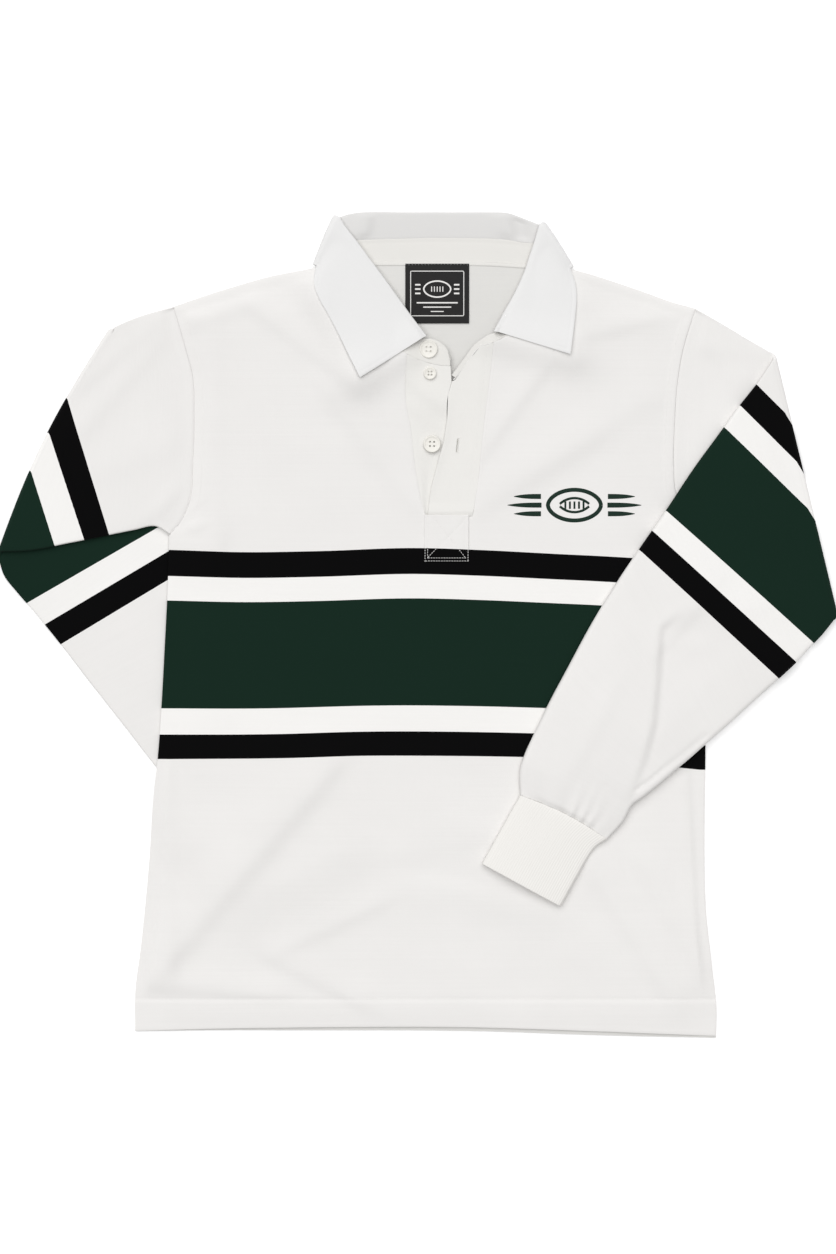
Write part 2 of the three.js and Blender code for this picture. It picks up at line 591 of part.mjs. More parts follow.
// Gives a sheet of middle points its thickness, square to the surface
function thicken(grid, thick) {
  const side = (sign) => grid.map((row, j) => row.map((p, i) => {
    const along = row[Math.min(i + 1, row.length - 1)].clone().sub(row[Math.max(i - 1, 0)]);
    const over = grid[Math.min(j + 1, grid.length - 1)][i].clone().sub(grid[Math.max(j - 1, 0)][i]);
    return p.clone().addScaledVector(along.cross(over).normalize(), sign * thick / 2);
  }));
  return slab(side(1), side(-1));
}

const neckMiddle = (x, y) => frontUnder(x, y) + jersey / 2;
const backNeck = neckRise + jersey / 2;
const backStand = 3.5;
const backLeaf = collarCloth / 2;
const frontRoll = frontNeck + 0.8;

function collarStand() {
  const section = (n, q, where, low) => steps(3).map((t) => turned(mix2(n, q, t), mix(low, frontRoll - 0.2, t),
    mix(backNeck, backStand, t), where));
  const rows = collarRows.map((where) => {
    const [nx, ny, qx, qy] = where.row;
    const d = span([nx, ny], [qx, qy]);
    const q = mix2([nx, ny], [qx, qy], 1 - seamGap / d);
    return section([nx, ny], q, where, neckMiddle(nx, ny));
  });
  const flat = { angle: 90, out: foldOutLeft };
  const first = buttonEnd.map(([nx, ny, qx, qy]) => section([nx, ny], [qx, qy], flat, neckMiddle(nx, ny)));
  const last = holeEnd.map(([nx, ny, qx, qy]) => section([nx, ny], [qx, qy], flat, neckMiddle(nx, ny)));
  return thicken([...first, ...rows, ...last], collarCloth);
}

function collarLeaf() {
  const roll = collarRoll;
  const grid = collarRows.map((where) => {
    const [, , qx, qy, rx, ry, ex, ey] = where.row;
    const d = span([ex, ey], [rx, ry]);
    const dir = [(rx - ex) / d, (ry - ey) / d];
    const inset = roll + collarCloth / 2;
    const r = [rx - dir[0] * inset, ry - dir[1] * inset];
    const points = [turned([qx, qy], frontRoll - 0.2, backStand, where),
      turned(mix2([qx, qy], r, 0.5), frontRoll - 0.1, backStand, where)];
    for (const turn of [0, 45, 90, 135, 180]) {
      const a = THREE.MathUtils.degToRad(turn);
      const reach = roll * Math.sin(a);
      points.push(turned([r[0] + dir[0] * reach, r[1] + dir[1] * reach],
        frontRoll + roll - roll * Math.cos(a), backStand - roll + roll * Math.cos(a), where));
    }
    const rest = frontUnder(ex, ey) + jersey + 0.9 + collarCloth / 2;
    for (const t of [0.25, 0.5, 0.75, 1]) {
      points.push(turned(mix2(r, [ex, ey], t), mix(frontRoll + 2 * roll, rest, t ** 1.5), backLeaf, where));
    }
    return points;
  });
  return thicken(grid, collarCloth);
}

function neckLabel() {
  const xs = steps(5).map((t) => mix(label.left, label.right, t));
  const ys = steps(5).map((t) => mix(label.bottom, label.top, t));
  const grid = ys.map((y) => xs.map((x) => [x, y]));
  const height = (x, y) => backUnder(x, y) + jersey + 0.5;
  return slab(lift(grid, (x, y) => height(x, y) + labelCloth), lift(grid, height));
}

// Sew-through button: a turned disc with a raised rim and four holes
function button(radius) {
  const t = buttonThick;
  const profile = [[0, 0], [radius - 0.7, 0], [radius, 0.7], [radius, t - 0.6], [radius - 0.6, t],
    [radius - 1.5, t], [radius - 2.2, t - 0.6], [0, t - 0.6]];
  const disc = new THREE.LatheGeometry(profile.map(([x, y]) => new THREE.Vector2(x, y)), 24);
  disc.rotateX(Math.PI / 2);
  const holes = [45, 135, 225, 315].map((turn) => {
    const a = THREE.MathUtils.degToRad(turn);
    const reach = radius * 0.24;
    const ring = steps(7).map((s) => [reach * Math.cos(a) + 0.75 * Math.cos(2 * Math.PI * s * 7 / 8),
      reach * Math.sin(a) + 0.75 * Math.sin(2 * Math.PI * s * 7 / 8)]);
    return prism(ring, -1, t + 1);
  });
  return cutAway(weld(disc), holes);
}

// Joins equal corners, so that a turned form closes along its seam and on its axis
function weld(geometry) {
  const place = geometry.attributes.position;
  const seen = new Map();
  const points = [];
  const to = [];
  for (let i = 0; i < place.count; i++) {
    const p = new THREE.Vector3().fromBufferAttribute(place, i);
    const key = [p.x, p.y, p.z].map((value) => Math.round(value * 1e4)).join();
    if (!seen.has(key)) {
      seen.set(key, points.length);
      points.push(p);
    }
    to.push(seen.get(key));
  }
  const faces = [];
  for (let f = 0; f < geometry.index.count; f += 3) {
    const [a, b, c] = [0, 1, 2].map((k) => to[geometry.index.getX(f + k)]);
    if (a !== b && b !== c && a !== c) faces.push(a, b, c);
  }
  return solid(points, faces);
}

// The shirt
const shirt = new THREE.Group();
shirt.name = 'rugby_shirt';

function addPiece(name, geometry, look) {
  const mesh = new THREE.Mesh(geometry, new THREE.MeshStandardMaterial(look));
  mesh.name = name;
  shirt.add(mesh);
  return mesh;
}

const armholeRows = (edge, by) => edge.slice(sideShares.length - 1).reverse().map(([x, y]) => [x + by, y]);

addPiece('body_back', bodyBack(), clothLook);
addPiece('body_front', bodyFront(), clothLook);
addPiece('sleeve_over', sleeve(armOver, armholeRows(bodyRight, 0.5)), clothLook);
addPiece('sleeve_under', sleeve(armUnder, armholeRows(bodyLeft, -0.5)), clothLook);
addPiece('cuff_over', cuff(armOver), clothLook);
addPiece('cuff_under', cuff(armUnder), clothLook);
addPiece('collar_stand', collarStand(), clothLook);
addPiece('collar_leaf', collarLeaf(), clothLook);
addPiece('placket_under', placketUnder(), clothLook);
addPiece('placket_upper', placketUpper(), clothLook);
addPiece('neck_label', neckLabel(), labelLook);
for (const [name, x, y, radius] of buttonRows) {
  const mesh = addPiece(name, button(radius), buttonLook);
  const rims = steps(12).map((t) => [x + radius * Math.cos(2 * Math.PI * t), y + radius * Math.sin(2 * Math.PI * t)]);
  const rest = Math.max(...rims.map(([px, py]) => (name === 'button_stand' ? frontRoll + 0.5
    : underHeight(px, py) + jersey)));
  mesh.position.set(x, y, rest + 0.4);
}

export default shirt;
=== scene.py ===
import math

import bmesh
import bpy
import numpy as np
from mathutils import Matrix, Vector


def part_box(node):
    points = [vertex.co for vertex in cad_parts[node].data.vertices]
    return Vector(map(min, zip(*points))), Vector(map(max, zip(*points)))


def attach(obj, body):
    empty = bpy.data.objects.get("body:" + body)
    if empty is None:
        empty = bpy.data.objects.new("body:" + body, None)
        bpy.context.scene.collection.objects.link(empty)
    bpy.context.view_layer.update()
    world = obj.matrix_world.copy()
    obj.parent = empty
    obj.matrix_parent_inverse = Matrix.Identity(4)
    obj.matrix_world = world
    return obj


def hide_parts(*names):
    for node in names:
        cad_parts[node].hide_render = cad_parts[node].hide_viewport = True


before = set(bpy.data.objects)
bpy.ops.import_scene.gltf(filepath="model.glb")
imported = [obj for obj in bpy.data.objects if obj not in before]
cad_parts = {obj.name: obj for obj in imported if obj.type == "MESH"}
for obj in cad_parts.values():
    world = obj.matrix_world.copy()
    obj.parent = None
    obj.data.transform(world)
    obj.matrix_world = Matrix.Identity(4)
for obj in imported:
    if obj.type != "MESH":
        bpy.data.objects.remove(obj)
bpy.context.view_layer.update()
scene = bpy.context.scene


def add_camera():
    data = bpy.data.cameras.new("camera")
    data.lens = 85
    data.sensor_width = 36
    camera = bpy.data.objects.new("camera", data)
    camera.location = (0.0009, -0.0023, 2.746)
    scene.collection.objects.link(camera)
    scene.camera = camera


add_camera()

# Cloth thicknesses and how the layers lie on each other
JERSEY = 1.2
COLLAR_CLOTH = 1.4
CUFF_RIB = 1.6
LABEL_CLOTH = 0.6
BODY_PUFF = 3.0
HEM_TURN = 0.7
HEM_LINE = -346.5
ARM_RISE = 5.4
ARM_RAMP = 60
NECK_RISE = 2.5
NECK_RAMP = 48
FRONT_NECK = 6.8
COLLAR_ROLL = 1.4
TUBE_EDGE = 0.75
OVER_BODY = 7.95
STRIP_DROP = 1.9
FRONT_ROLL = FRONT_NECK + 0.8
HEM_START = -345
HEM_FOOT = -376.0
PIT_LEVEL = 82.8
SLOT_FOOT = 99.9
NECK_ENDS = (-82.3, 132.3)
BAND_ENDS = (-228, 262)
FRONT_CREASE_SCALE = 2.6
ARM_CREASE_SCALE = 2.0
FOREARM_CREASE_SCALE = 1.5
COLLAR_CREASE_SCALE = 2.2
LEAF_LIFT = 2.4
TIP_LIFT = 2.2
SEAM_BOW = 3.2
LABEL_WEFT = 0.45
WAVE_PERIOD = 0.31416

# Outline of the body, each row x y
SIDE_LEFT = np.array([
    (-261.3, -376.5), (-260.9, -338.1), (-256.2, -301.1), (-248.8, -227.1), (-243.3, -153.1),
    (-239.9, -123.5), (-236.5, -76.3), (-233.6, -23.6), (-230.3, 45.8), (-229.4, 82.8)])
SIDE_RIGHT = np.array([
    (277, -381.1), (277.5, -356.6), (273.8, -319.6), (267.8, -264.1), (266.4, -190.1),
    (267.3, -125.3), (267.3, -69.8), (265.5, 13.4), (263.6, 50.4), (262.7, 82.8)])
ARMHOLE_LEFT = np.array([
    (-229.4, 82.8), (-220.5, 92.4), (-211.8, 109.6), (-207.3, 153.5), (-206.5, 194.7),
    (-208.1, 231.2), (-214, 254.3), (-220.2, 276.1), (-225.7, 294.6)])
ARMHOLE_RIGHT = np.array([
    (262.7, 82.8), (253.5, 93), (245.1, 109.6), (240, 121.6), (237.7, 146.8), (238.5, 185.1),
    (240.8, 220.6), (247, 257.2), (252.5, 276.1), (258.1, 292.8)])
SHOULDER_LEFT = np.array([
    (-225.7, 294.6), (-190.6, 306.6), (-166.5, 314), (-140.6, 321.4), (-101.8, 328.8), (-82.3, 332.5)])
SHOULDER_RIGHT = np.array([
    (132.3, 330.7), (142.5, 328.8), (170.2, 321.4), (193.3, 314), (214.6, 306.6), (235, 299.2),
    (258.1, 292.8)])
NECK_BACK = np.array([
    (-82.3, 332.5), (-46.2, 334.9), (18.5, 335.3), (65.7, 334.9), (99.9, 332.5), (132.3, 330.7)])
HEM_FRONT = np.array([
    (-261.3, -376.5), (-189.6, -374.4), (-108.2, -373.2), (58.3, -373.2), (169.3, -376.9), (277, -381.1)])
HEM_BACK = np.array([
    (-261.3, -376.8), (-189.6, -376), (-108.2, -376), (58.3, -376.9), (169.3, -380.6), (277, -383)])

# Placket slot in the front and the two strips sewn into it, foot to top
SLOT_LEFT = np.array([
    (7.9, 99.9), (3.7, 116.1), (-2.8, 154.4), (-5.6, 180.8), (-10.2, 205.8), (-9.2, 251)])
SLOT_RIGHT = np.array([
    (51.3, 99.9), (56.4, 132.7), (60.1, 170.7), (64.3, 205.8), (68, 235.4), (70.5, 261)])
UPPER_FREE_EDGE = np.array([
    (10.1, 100.4), (11.5, 116.1), (13.7, 128.3), (19.8, 151.2), (24.9, 169.7), (27.9, 189.6),
    (28.7, 212.7), (32.2, 224.8)])
UNDER_FREE_EDGE = np.array([
    (44.4, 100.4), (39.8, 129), (34.2, 154), (30.4, 175.3), (28.0, 188), (27.4, 196), (27.7, 205), (28.5, 212),
    (30.6, 220), (31.9, 224.6), (31.6, 229), (31, 238.9)])
UNDER_TOP = np.array([(-8.8, 248.8), (0.9, 244.0), (12, 240.7), (21.3, 238.9), (31, 238.3)])
UPPER_TOP = np.array([(32.2, 224.8), (35.7, 225.6), (48.2, 243.6), (58.8, 255.9), (69.8, 259.1)])

# Creases in the laid cloth, each row x0 y0 x1 y1 height steep gentle: the steep side lies to the right of its run
FRONT_CREASES = [
    (-237.7, -315, -87.9, -139.2, 1.6, 13, 34), (-122.1, -312.2, -62, -342.7, 0.9, 8, 20),
    (-108.2, -290, -41.6, -259.5, 0.9, 9, 22), (104.5, -259.5, 21.3, -243.7, 0.6, 9, 25),
    (161.9, -219.7, 232.2, -333.5, 1.2, 12, 18), (213.7, -227.1, 266.4, -324.2, 0.9, 10, 14),
    (259, -310.3, 248.8, -153.1, 0.7, 5, 12), (-230.3, -310.3, -232.2, -139.2, 0.9, 9, 12),
    (-143.4, 289.1, -85.1, 244.7, 0.7, 8, 16), (-163.7, 295.5, -205.4, 283.5, 0.8, 8, 10),
    (-75.9, 212.3, -1.9, 115.2, 0.8, 12, 26), (69.4, 117, 155.4, 170.7, 0.7, 12, 22),
    (67.5, 170.7, 104.5, 221.5, 0.7, 8, 14), (-187.8, 78.2, -189.6, 272.4, 0.8, 12, 50),
    (169.3, 272.4, 215.5, 283.5, 0.7, 8, 14), (113.8, 152.2, 206.3, 207.7, 0.6, 16, 30),
    (-226.6, -333.5, -145.2, -339.9, 0.8, 8, 14), (-15.7, -208.6, 49, -194.7, 0.5, 14, 30),
    (-95, 315, -54, 229, 1.5, 18, 18), (-52, 229, 5, 262, 1.6, 18, 18), (70, 268, 140, 250, 1.9, 20, 20),
    (-229, 95, -212, 106, 0.8, 3, 4), (-227, 87, -205, 90, 0.6, 3, 4)]
ARM_CREASES = [
    (-297.9, 233.6, -237.7, 286.3, 1.1, 9, 13), (-307.1, 184.5, -233.1, 272.4, 0.9, 11, 15),
    (-293.2, 142.9, -210, 170.7, 0.5, 14, 20), (-247, 98.5, -215.5, 126.3, 0.8, 6, 10),
    (-226.6, 78.2, -213.7, 115.2, 0.6, 5, 8),
    (261.8, 258.5, 321.9, 252.1, 0.8, 9, 16), (252.5, 142.9, 303.4, 230.8, 0.9, 12, 16),
    (266.4, 272.4, 294.2, 226.2, 0.6, 9, 12)]
FOREARM_CREASES = [
    (132.3, -69.8, 187.8, -14.3, 0.6, 14, 20), (146.2, -125.3, 180.4, -60.6, 0.7, 9, 14),
    (261.8, -14.3, 317.3, 22.7, 0.5, 12, 20), (229.4, -14.3, 261.8, 24.5, 1, 8, 16),
    (220.2, -106.8, 261.8, -60.6, 0.5, 12, 20)]
STRIP_CREASES = [(40, 216, 52, 168, -0.9, 7, 6), (58, 232, 55, 190, 0.6, 6, 8), (24, 150, 40, 118, 0.7, 8, 8)]
UNDER_STRIP_CREASES = [(-6, 226, 22, 204, 0.9, 7, 9), (-2, 200, 14, 186, 0.5, 6, 8)]
COLLAR_CREASES = [(-52, 350, -46, 378, 1.0, 6, 9), (88, 350, 80, 378, 0.8, 7, 10), (100, 345, 94, 372, -1, 7, 7)]
FOREARM_CREASE = np.array([
    (237.7, 11.6), (222.5, -2.3), (220.7, -46.7), (216.4, -91.1), (207.2, -126.3), (197, -155)])

# Sleeves, each row from the outer edge x y to the under edge x y, then the puff of its upper side
ARM_OVER = {
    "upper": [(284.9, 277, 308, 56, 1.3), (308, 263.2, 348.7, 32.8, 0.9), (322.8, 254.8, 372.8, 19, 0.3)],
    "elbow": (332.1, 249.3, 389.4, 9.7),
    "fore": [
        (314.5, 222.5, 374.6, -8.8, 0.5), (298.8, 201.2, 361.7, -20.8, 1.2), (284.5, 180.5, 349.7, -32.8, 1.8),
        (257.2, 142.9, 332.6, -48.6, 2.4), (231.8, 104.5, 310.8, -68, 2.8), (209.1, 71.7, 288.6, -88.3, 3.1),
        (186.9, 38.8, 267.3, -106.8, 3.3), (161.9, -2.3, 250.7, -121.6, 3.4),
        (140.6, -42.1, 236.8, -133.3, 3.4), (123, -75.4, 220.2, -147.5, 3.3),
        (111.9, -98.5, 206.3, -158.6, 3.2), (101.8, -120.4, 196.1, -166.5, 3.0),
        (96.2, -139.2, 186.9, -183.6, 2.5), (96.7, -157.7, 174.8, -197.5, 1.6)],
    "cuff": [
        (96, -159.1, 172.5, -199.3, 1.6), (89.7, -169.7, 163.7, -205.4, 2.2),
        (81.4, -184.5, 156.8, -215.1, 2.4), (71.2, -203, 146.2, -233.6, 2.4),
        (61.1, -221.4, 131.8, -259.9, 2.2)],
    "out": (0.9726, 0.2326), "bend": 2.8, "turn": 1, "bulge": 0, "fuller": 2.5,
    "slide": 4.4}
ARM_UNDER = {
    "upper": [(-238.2, 290.9, -241, 90.6, 0.9), (-250.7, 287.2, -262, 87.1, 1.4), (-270.1, 279.8, -321, 75.4, 1.2),
              (-280.3, 274.7, -363.5, 68, 0.5)],
    "elbow": (-286.8, 271.5, -389.4, 65.2),
    "fore": [
        (-270.1, 218.8, -383, 45.8, 0), (-249.8, 156.8, -370.9, 30.1, 0), (-230.3, 97.6, -352.4, 8.8, 0),
        (-209.1, 52.3, -330.2, -18.5, 0), (-185, 2.3, -300.6, -56.9, 0), (-161, -47.6, -270.1, -95.7, 0),
        (-137.8, -95.7, -240.5, -133.7, 0), (-122.1, -128.1, -211.8, -167.9, 0),
        (-114.2, -144.8, -195.2, -188.2, 0)],
    "cuff": [
        (-113.8, -146.2, -193.8, -189.6, 0), (-111, -154.9, -185.9, -196.6, 0),
        (-101.8, -172.5, -173, -215.1, 0), (-91.6, -191, -161.9, -232.6, 0),
        (-81.9, -208.6, -151.7, -249.3, 0)],
    "out": (-0.8954, 0.4453), "bend": 2.7, "turn": -1, "bulge": 8, "fuller": 0,
    "slide": 5.0}

# Collar, each row: neck seam, seam of stand and leaf, rolled edge, outer edge of the leaf (x y each)
COLLAR_FRONT_LEFT = np.array([
    (0.9, 244.7, 5.2, 264.4, 9.1, 266.9, -52.5, 227.5), (-18, 255.2, -6.8, 279.3, -3.7, 283.5, -62.9, 248.4),
    (-36, 270.5, -22.9, 292.1, -15.7, 300.2, -73.1, 269.6),
    (-52, 287.6, -38.7, 308.7, -29.6, 319.6, -82.3, 286.8),
    (-65, 304.2, -54.5, 326.2, -43.5, 338.1, -91.1, 302.9), (-74.5, 317.5, -66.4, 340.1, -56.4, 355.7, -95, 315),
    (-79.5, 327, -72.6, 349.8, -66.3, 368.4, -94.7, 325), (-81.9, 333.2, -75.9, 356.6, -72, 377, -93, 332)])
COLLAR_BACK = np.array([
    (-81.9, 333.2, -75.9, 356.6, -72, 377, -93, 332), (-72, 333.9, -68.9, 354.8, -66.4, 379.2, -85.1, 326.5),
    (-59, 334.8, -56.4, 355.7, -55.9, 381.4, -74, 324.2), (-43, 335.5, -41.6, 356.6, -40.7, 382.2, -48.1, 323.8),
    (-13.9, 335.8, -13.9, 357.5, -13.9, 382, -13.9, 323.8), (18.5, 336, 18.5, 358.2, 18.5, 382, 18.5, 323.8),
    (45, 335.8, 44.4, 358, 44.4, 382, 49, 323.8), (70, 335.2, 67.5, 357.5, 67.5, 382, 76.8, 323.8),
    (90, 333.9, 84.2, 356.1, 83.6, 381.2, 99.9, 324.2), (108, 332.8, 98.3, 354, 97, 376.6, 118.4, 325.1),
    (122, 332, 111.6, 353, 106.2, 372.9, 132.5, 327.5), (132, 331.4, 121.3, 352.8, 113, 370.2, 142, 329.4)])
COLLAR_FRONT_RIGHT = np.array([
    (132, 331.4, 121.3, 352.8, 113, 370.2, 142, 329.4), (129.5, 322.5, 115.2, 342.7, 109.2, 356.6, 145.2, 319.6),
    (125.2, 311.5, 109.2, 332.5, 104.5, 342.7, 147.1, 307.6), (118.5, 300.5, 101.2, 318.2, 99, 326.1, 146.9, 295.5),
    (109, 290, 94.9, 305.6, 90.7, 307.6, 145.5, 281.7), (96, 276.5, 85.7, 289.3, 81.4, 290.9, 143.8, 267.8),
    (78, 263.9, 75.1, 269.7, 70.7, 271.1, 141.4, 249.3)])
LEAF_ENDS = (COLLAR_FRONT_LEFT[0, 4:8].reshape(2, 2), COLLAR_FRONT_RIGHT[-1, 4:8].reshape(2, 2))
FOLD_OUT_LEFT = (-0.88, 0.48)
FOLD_OUT_RIGHT = (0.80, 0.60)
BUTTON_END = np.array([
    (30.5, 239.2, 30.5, 245.1), (28.2, 239.2, 28.2, 253.9), (21.3, 239.7, 22.2, 260.4), (12, 241.5, 13.9, 264.2)])
HOLE_END = np.array([
    (70.3, 260.2, 68.5, 268.6), (58.3, 256.7, 54.4, 259.5), (47.5, 244.2, 43.5, 246.5), (35.6, 228.4, 31.8, 230.8)])
LABEL = {"left": -10.9, "right": 48.3, "top": 334.2, "bottom": 279.0}
BUTTONS = {"button_stand": (10.7, 254.4, 8.2), "button_small": (12, 232.2, 5.8), "button_front": (13.9, 167.0, 8.0)}

# Stripes: where each band of yarn starts along the set of five, and their edges on the laid pieces
BANDS = (0.0, 0.121, 0.241, 0.753, 0.876, 1.0)
BODY_BAND_TOP = np.array([
    (-228, 69), (-164, 67), (-90, 68), (-2, 70.8), (58, 69), (132, 65.2), (169, 63.4), (262, 57.5)])
BODY_BAND_FOOT = np.array([
    (-228, -124.4), (-127, -123.5), (-53, -121.6), (21, -121.6), (95, -122.6), (170, -125), (262, -134.6)])
# Edges of the sleeve bands, each row x0 y0 x1 y1, from the shoulder towards the cuff
OVER_BANDS = [
    (314.1, 221.5, 345.0, 191.0), (299.7, 202.1, 355.2, 147.5), (284.5, 181.3, 365.8, 103.1),
    (231.8, 104.5, 367.2, -16.6), (219.0, 86.5, 349.7, -32.6), (206.6, 67.6, 332.5, -48.6)]
UNDER_BANDS_UPPER = [
    (-323.8, 210.4, -284.9, 83.7), (-339.5, 178.1, -306.2, 77.2), (-357.1, 142.9, -334.4, 71.7)]
UNDER_BANDS_FORE = [
    (-361.7, 20.8, -240.5, 90.7), (-346.0, 0.9, -229.7, 69.8), (-330.2, -18.5, -230.3, 41.6)]


# Small mathematics
def mix(a, b, t):
    return a + (b - a) * t


def ease(t):
    t = np.clip(t, 0, 1)
    return t * t * (3 - 2 * t)


def bell(off, width):
    return np.exp(-(off / width) ** 2)


def plate(*parts):
    """Coordinates put together into points."""
    return np.stack(parts, axis=-1)


def curve(t, at, values):
    """Values at t on a soft curve through a table."""
    at, values = np.asarray(at, float), np.asarray(values, float)
    slope = np.gradient(values, at, axis=0)
    t = np.asarray(t, float)
    k = np.clip(np.searchsorted(at, t, side="right") - 1, 0, len(at) - 2)
    step = at[k + 1] - at[k]
    s = np.clip((t - at[k]) / step, 0, 1)
    more = (...,) + (None,) * (values.ndim - 1)
    s, step = s[more], step[more]
    return ((2 * s**3 - 3 * s**2 + 1) * values[k] + (s**3 - 2 * s**2 + s) * step * slope[k]
            + (3 * s**2 - 2 * s**3) * values[k + 1] + (s**3 - s**2) * step * slope[k + 1])


def run_of(points):
    """Length along a run of points, up to each of them."""
    points = np.asarray(points, float)
    return np.concatenate([[0], np.cumsum(np.linalg.norm(np.diff(points, axis=0), axis=-1))])


def on_line(line, t, soft=True):
    """The points at shares t of a line's whole length."""
    line = np.asarray(line, float)
    run = run_of(line)
    t = np.asarray(t, float) * run[-1]
    if soft:
        return curve(t, run, line)
    return np.stack([np.interp(t, run, line[:, k]) for k in range(line.shape[1])], axis=-1)


def away(line, x, y):
    """Distance from points to a run of straight pieces."""
    line = np.asarray(line, float)
    p, d = line[:-1], np.diff(line, axis=0)
    d2 = np.maximum((d**2).sum(1), 1e-9)
    x, y = np.asarray(x, float)[..., None], np.asarray(y, float)[..., None]
    t = np.clip(((x - p[:, 0]) * d[:, 0] + (y - p[:, 1]) * d[:, 1]) / d2, 0, 1)
    return np.hypot(x - p[:, 0] - t * d[:, 0], y - p[:, 1] - t * d[:, 1]).min(-1)


def is_inside(loop, x, y):
    """Whether points lie inside a closed outline."""
    inside = np.zeros(np.shape(x), bool)
    for (px, py), (qx, qy) in zip(loop, np.roll(loop, 1, axis=0)):
        if py == qy:
            continue
        inside ^= ((py > y) != (qy > y)) & (x < (qx - px) * (y - py) / (qy - py) + px)
    return inside


def creases(x, y, table):
    """Height of the soft ridges that a table of creases gives."""
    z = np.zeros(np.shape(x))
    for x0, y0, x1, y1, height, steep, gentle in table:
        length = math.hypot(x1 - x0, y1 - y0)
        dx, dy = (x1 - x0) / length, (y1 - y0) / length
        along = (x - x0) * dx + (y - y0) * dy
        off = (x - x0) * dy - (y - y0) * dx
        over = np.maximum(0, np.maximum(-along, along - length)) / min(28, 0.5 * length)
        z += height * np.exp(-(off / np.where(off > 0, steep, gentle)) ** 2 - over ** 2)
    return z


def ripple(x, y, seed, wave, size):
    """Gentle, irregular waves in laid cloth."""
    rng = np.random.default_rng(seed)
    z = np.zeros(np.shape(x))
    for _ in range(14):
        angle, length = rng.uniform(0, math.pi), wave * rng.uniform(0.7, 1.6)
        z += np.sin((x * math.cos(angle) + y * math.sin(angle)) * 2 * math.pi / length + rng.uniform(0, 6.28))
    return z * size / 14**0.5


# Heights of the layers
HIDDEN_ARM = np.array(
    [ARM_UNDER["elbow"][:2]] + [r[:2] for r in ARM_UNDER["fore"] + ARM_UNDER["cuff"]]
    + [r[2:4] for r in (ARM_UNDER["fore"] + ARM_UNDER["cuff"])[::-1]] + [ARM_UNDER["elbow"][2:]])
NECK_LINE = np.concatenate([COLLAR_FRONT_LEFT[-2::-1, :2], COLLAR_FRONT_RIGHT[:0:-1, :2]])
SEAM_LEFT = np.concatenate([SIDE_LEFT, ARMHOLE_LEFT, SHOULDER_LEFT])
SEAM_RIGHT = np.concatenate([SIDE_RIGHT, ARMHOLE_RIGHT, SHOULDER_RIGHT[::-1]])


def arm_lift(x, y):
    """The body is raised where the folded forearm lies beneath it."""
    out = away(np.concatenate([HIDDEN_ARM, HIDDEN_ARM[:1]]), x, y) * np.where(is_inside(HIDDEN_ARM, x, y), -1, 1)
    return ARM_RISE * ease(1 - out / ARM_RAMP)


def back_under(x, y):
    return arm_lift(x, y) + NECK_RISE * ease(1 - (away(NECK_BACK, x, y) - 16) / NECK_RAMP)


def seam_edge(x, y):
    return np.minimum(away(SEAM_LEFT, x, y), away(SEAM_RIGHT, x, y))


def leaf_gap(x, y):
    """How far a point lies outside the leaves of the collar."""
    gaps = []
    for rows in (COLLAR_FRONT_LEFT, COLLAR_FRONT_RIGHT):
        loop = np.concatenate([rows[:, 6:8], rows[::-1, 4:6]])
        gaps.append(np.where(is_inside(loop, x, y), 0, away(np.concatenate([loop, loop[:1]]), x, y)))
    return np.minimum(*gaps)


def front_under(x, y):
    edge = seam_edge(x, y)
    armhole = ease((y - 84) / 40) * ease((296 - y) / 26)
    shoulder = 0.9 * ease((x + 190) / 90) * ease((232 - x) / 90) * ease((y - 290) / 20)
    seam = 0.35 + 1.15 * armhole + shoulder
    middle = mix(1.4, BODY_PUFF, ease((y + 380) / 24))
    air = seam + (middle - np.minimum(seam, middle)) * ease(edge / 45)
    z = back_under(x, y) + JERSEY + HEM_TURN * (y < HEM_START) + air
    z = mix(z, FRONT_NECK, ease(1 - (away(NECK_LINE, x, y) - 16) / 100) * ease(edge / 40))
    z += LEAF_LIFT * bell(leaf_gap(x, y), 15) * ease(edge / 30)
    return z + FRONT_CREASE_SCALE * creases(x, y, FRONT_CREASES) * ease(edge / 14)


def front_top(x, y):
    """The outer face of the front: seam allowances show along the armholes, and the hem is turned up."""
    edge, gap = seam_edge(x, y), np.minimum(away(ARMHOLE_LEFT, x, y), away(ARMHOLE_RIGHT, x, y))
    z = front_under(x, y) - HEM_TURN * (y < HEM_START) + JERSEY
    z += HEM_TURN * 0.9 * ease((HEM_LINE - y) / 5)
    z += 0.14 * np.sin(x / 5.5 + 2 * np.sin(x / 31)) * bell(y - HEM_LINE, 7)
    z -= 0.25 * bell(y - HEM_LINE, 1.6)
    sewn = ease((y - 88) / 25) * ease((290 - y) / 12)
    z += 0.5 * ease((11 - gap) / 3.0) * sewn - 0.2 * bell(gap - 8.0, 1.0) * sewn
    z -= 0.6 * bell(gap, 1.3) * ease((y - 84) / 6)
    z -= 0.5 * ease(1 - edge / 2) * (y < PIT_LEVEL + 1.2)
    yoke = np.minimum(away(SHOULDER_LEFT, x, y), away(SHOULDER_RIGHT, x, y))
    z += 0.35 * ease((7.6 - yoke) / 1.2) - 0.25 * bell(yoke - 7.8, 0.9) - 0.9 * ease((3.2 - yoke) / 3.2)
    quiet = ease(edge / 30) * ease(away(NECK_LINE, x, y) / 60)
    loose = 1 + 1.1 * ease((-120 - y) / 60) * ease((y + 350) / 40)
    return z + (ripple(x, y, 3, 80, 0.14) + ripple(x, y, 8, 34, 0.05)) * quiet * loose


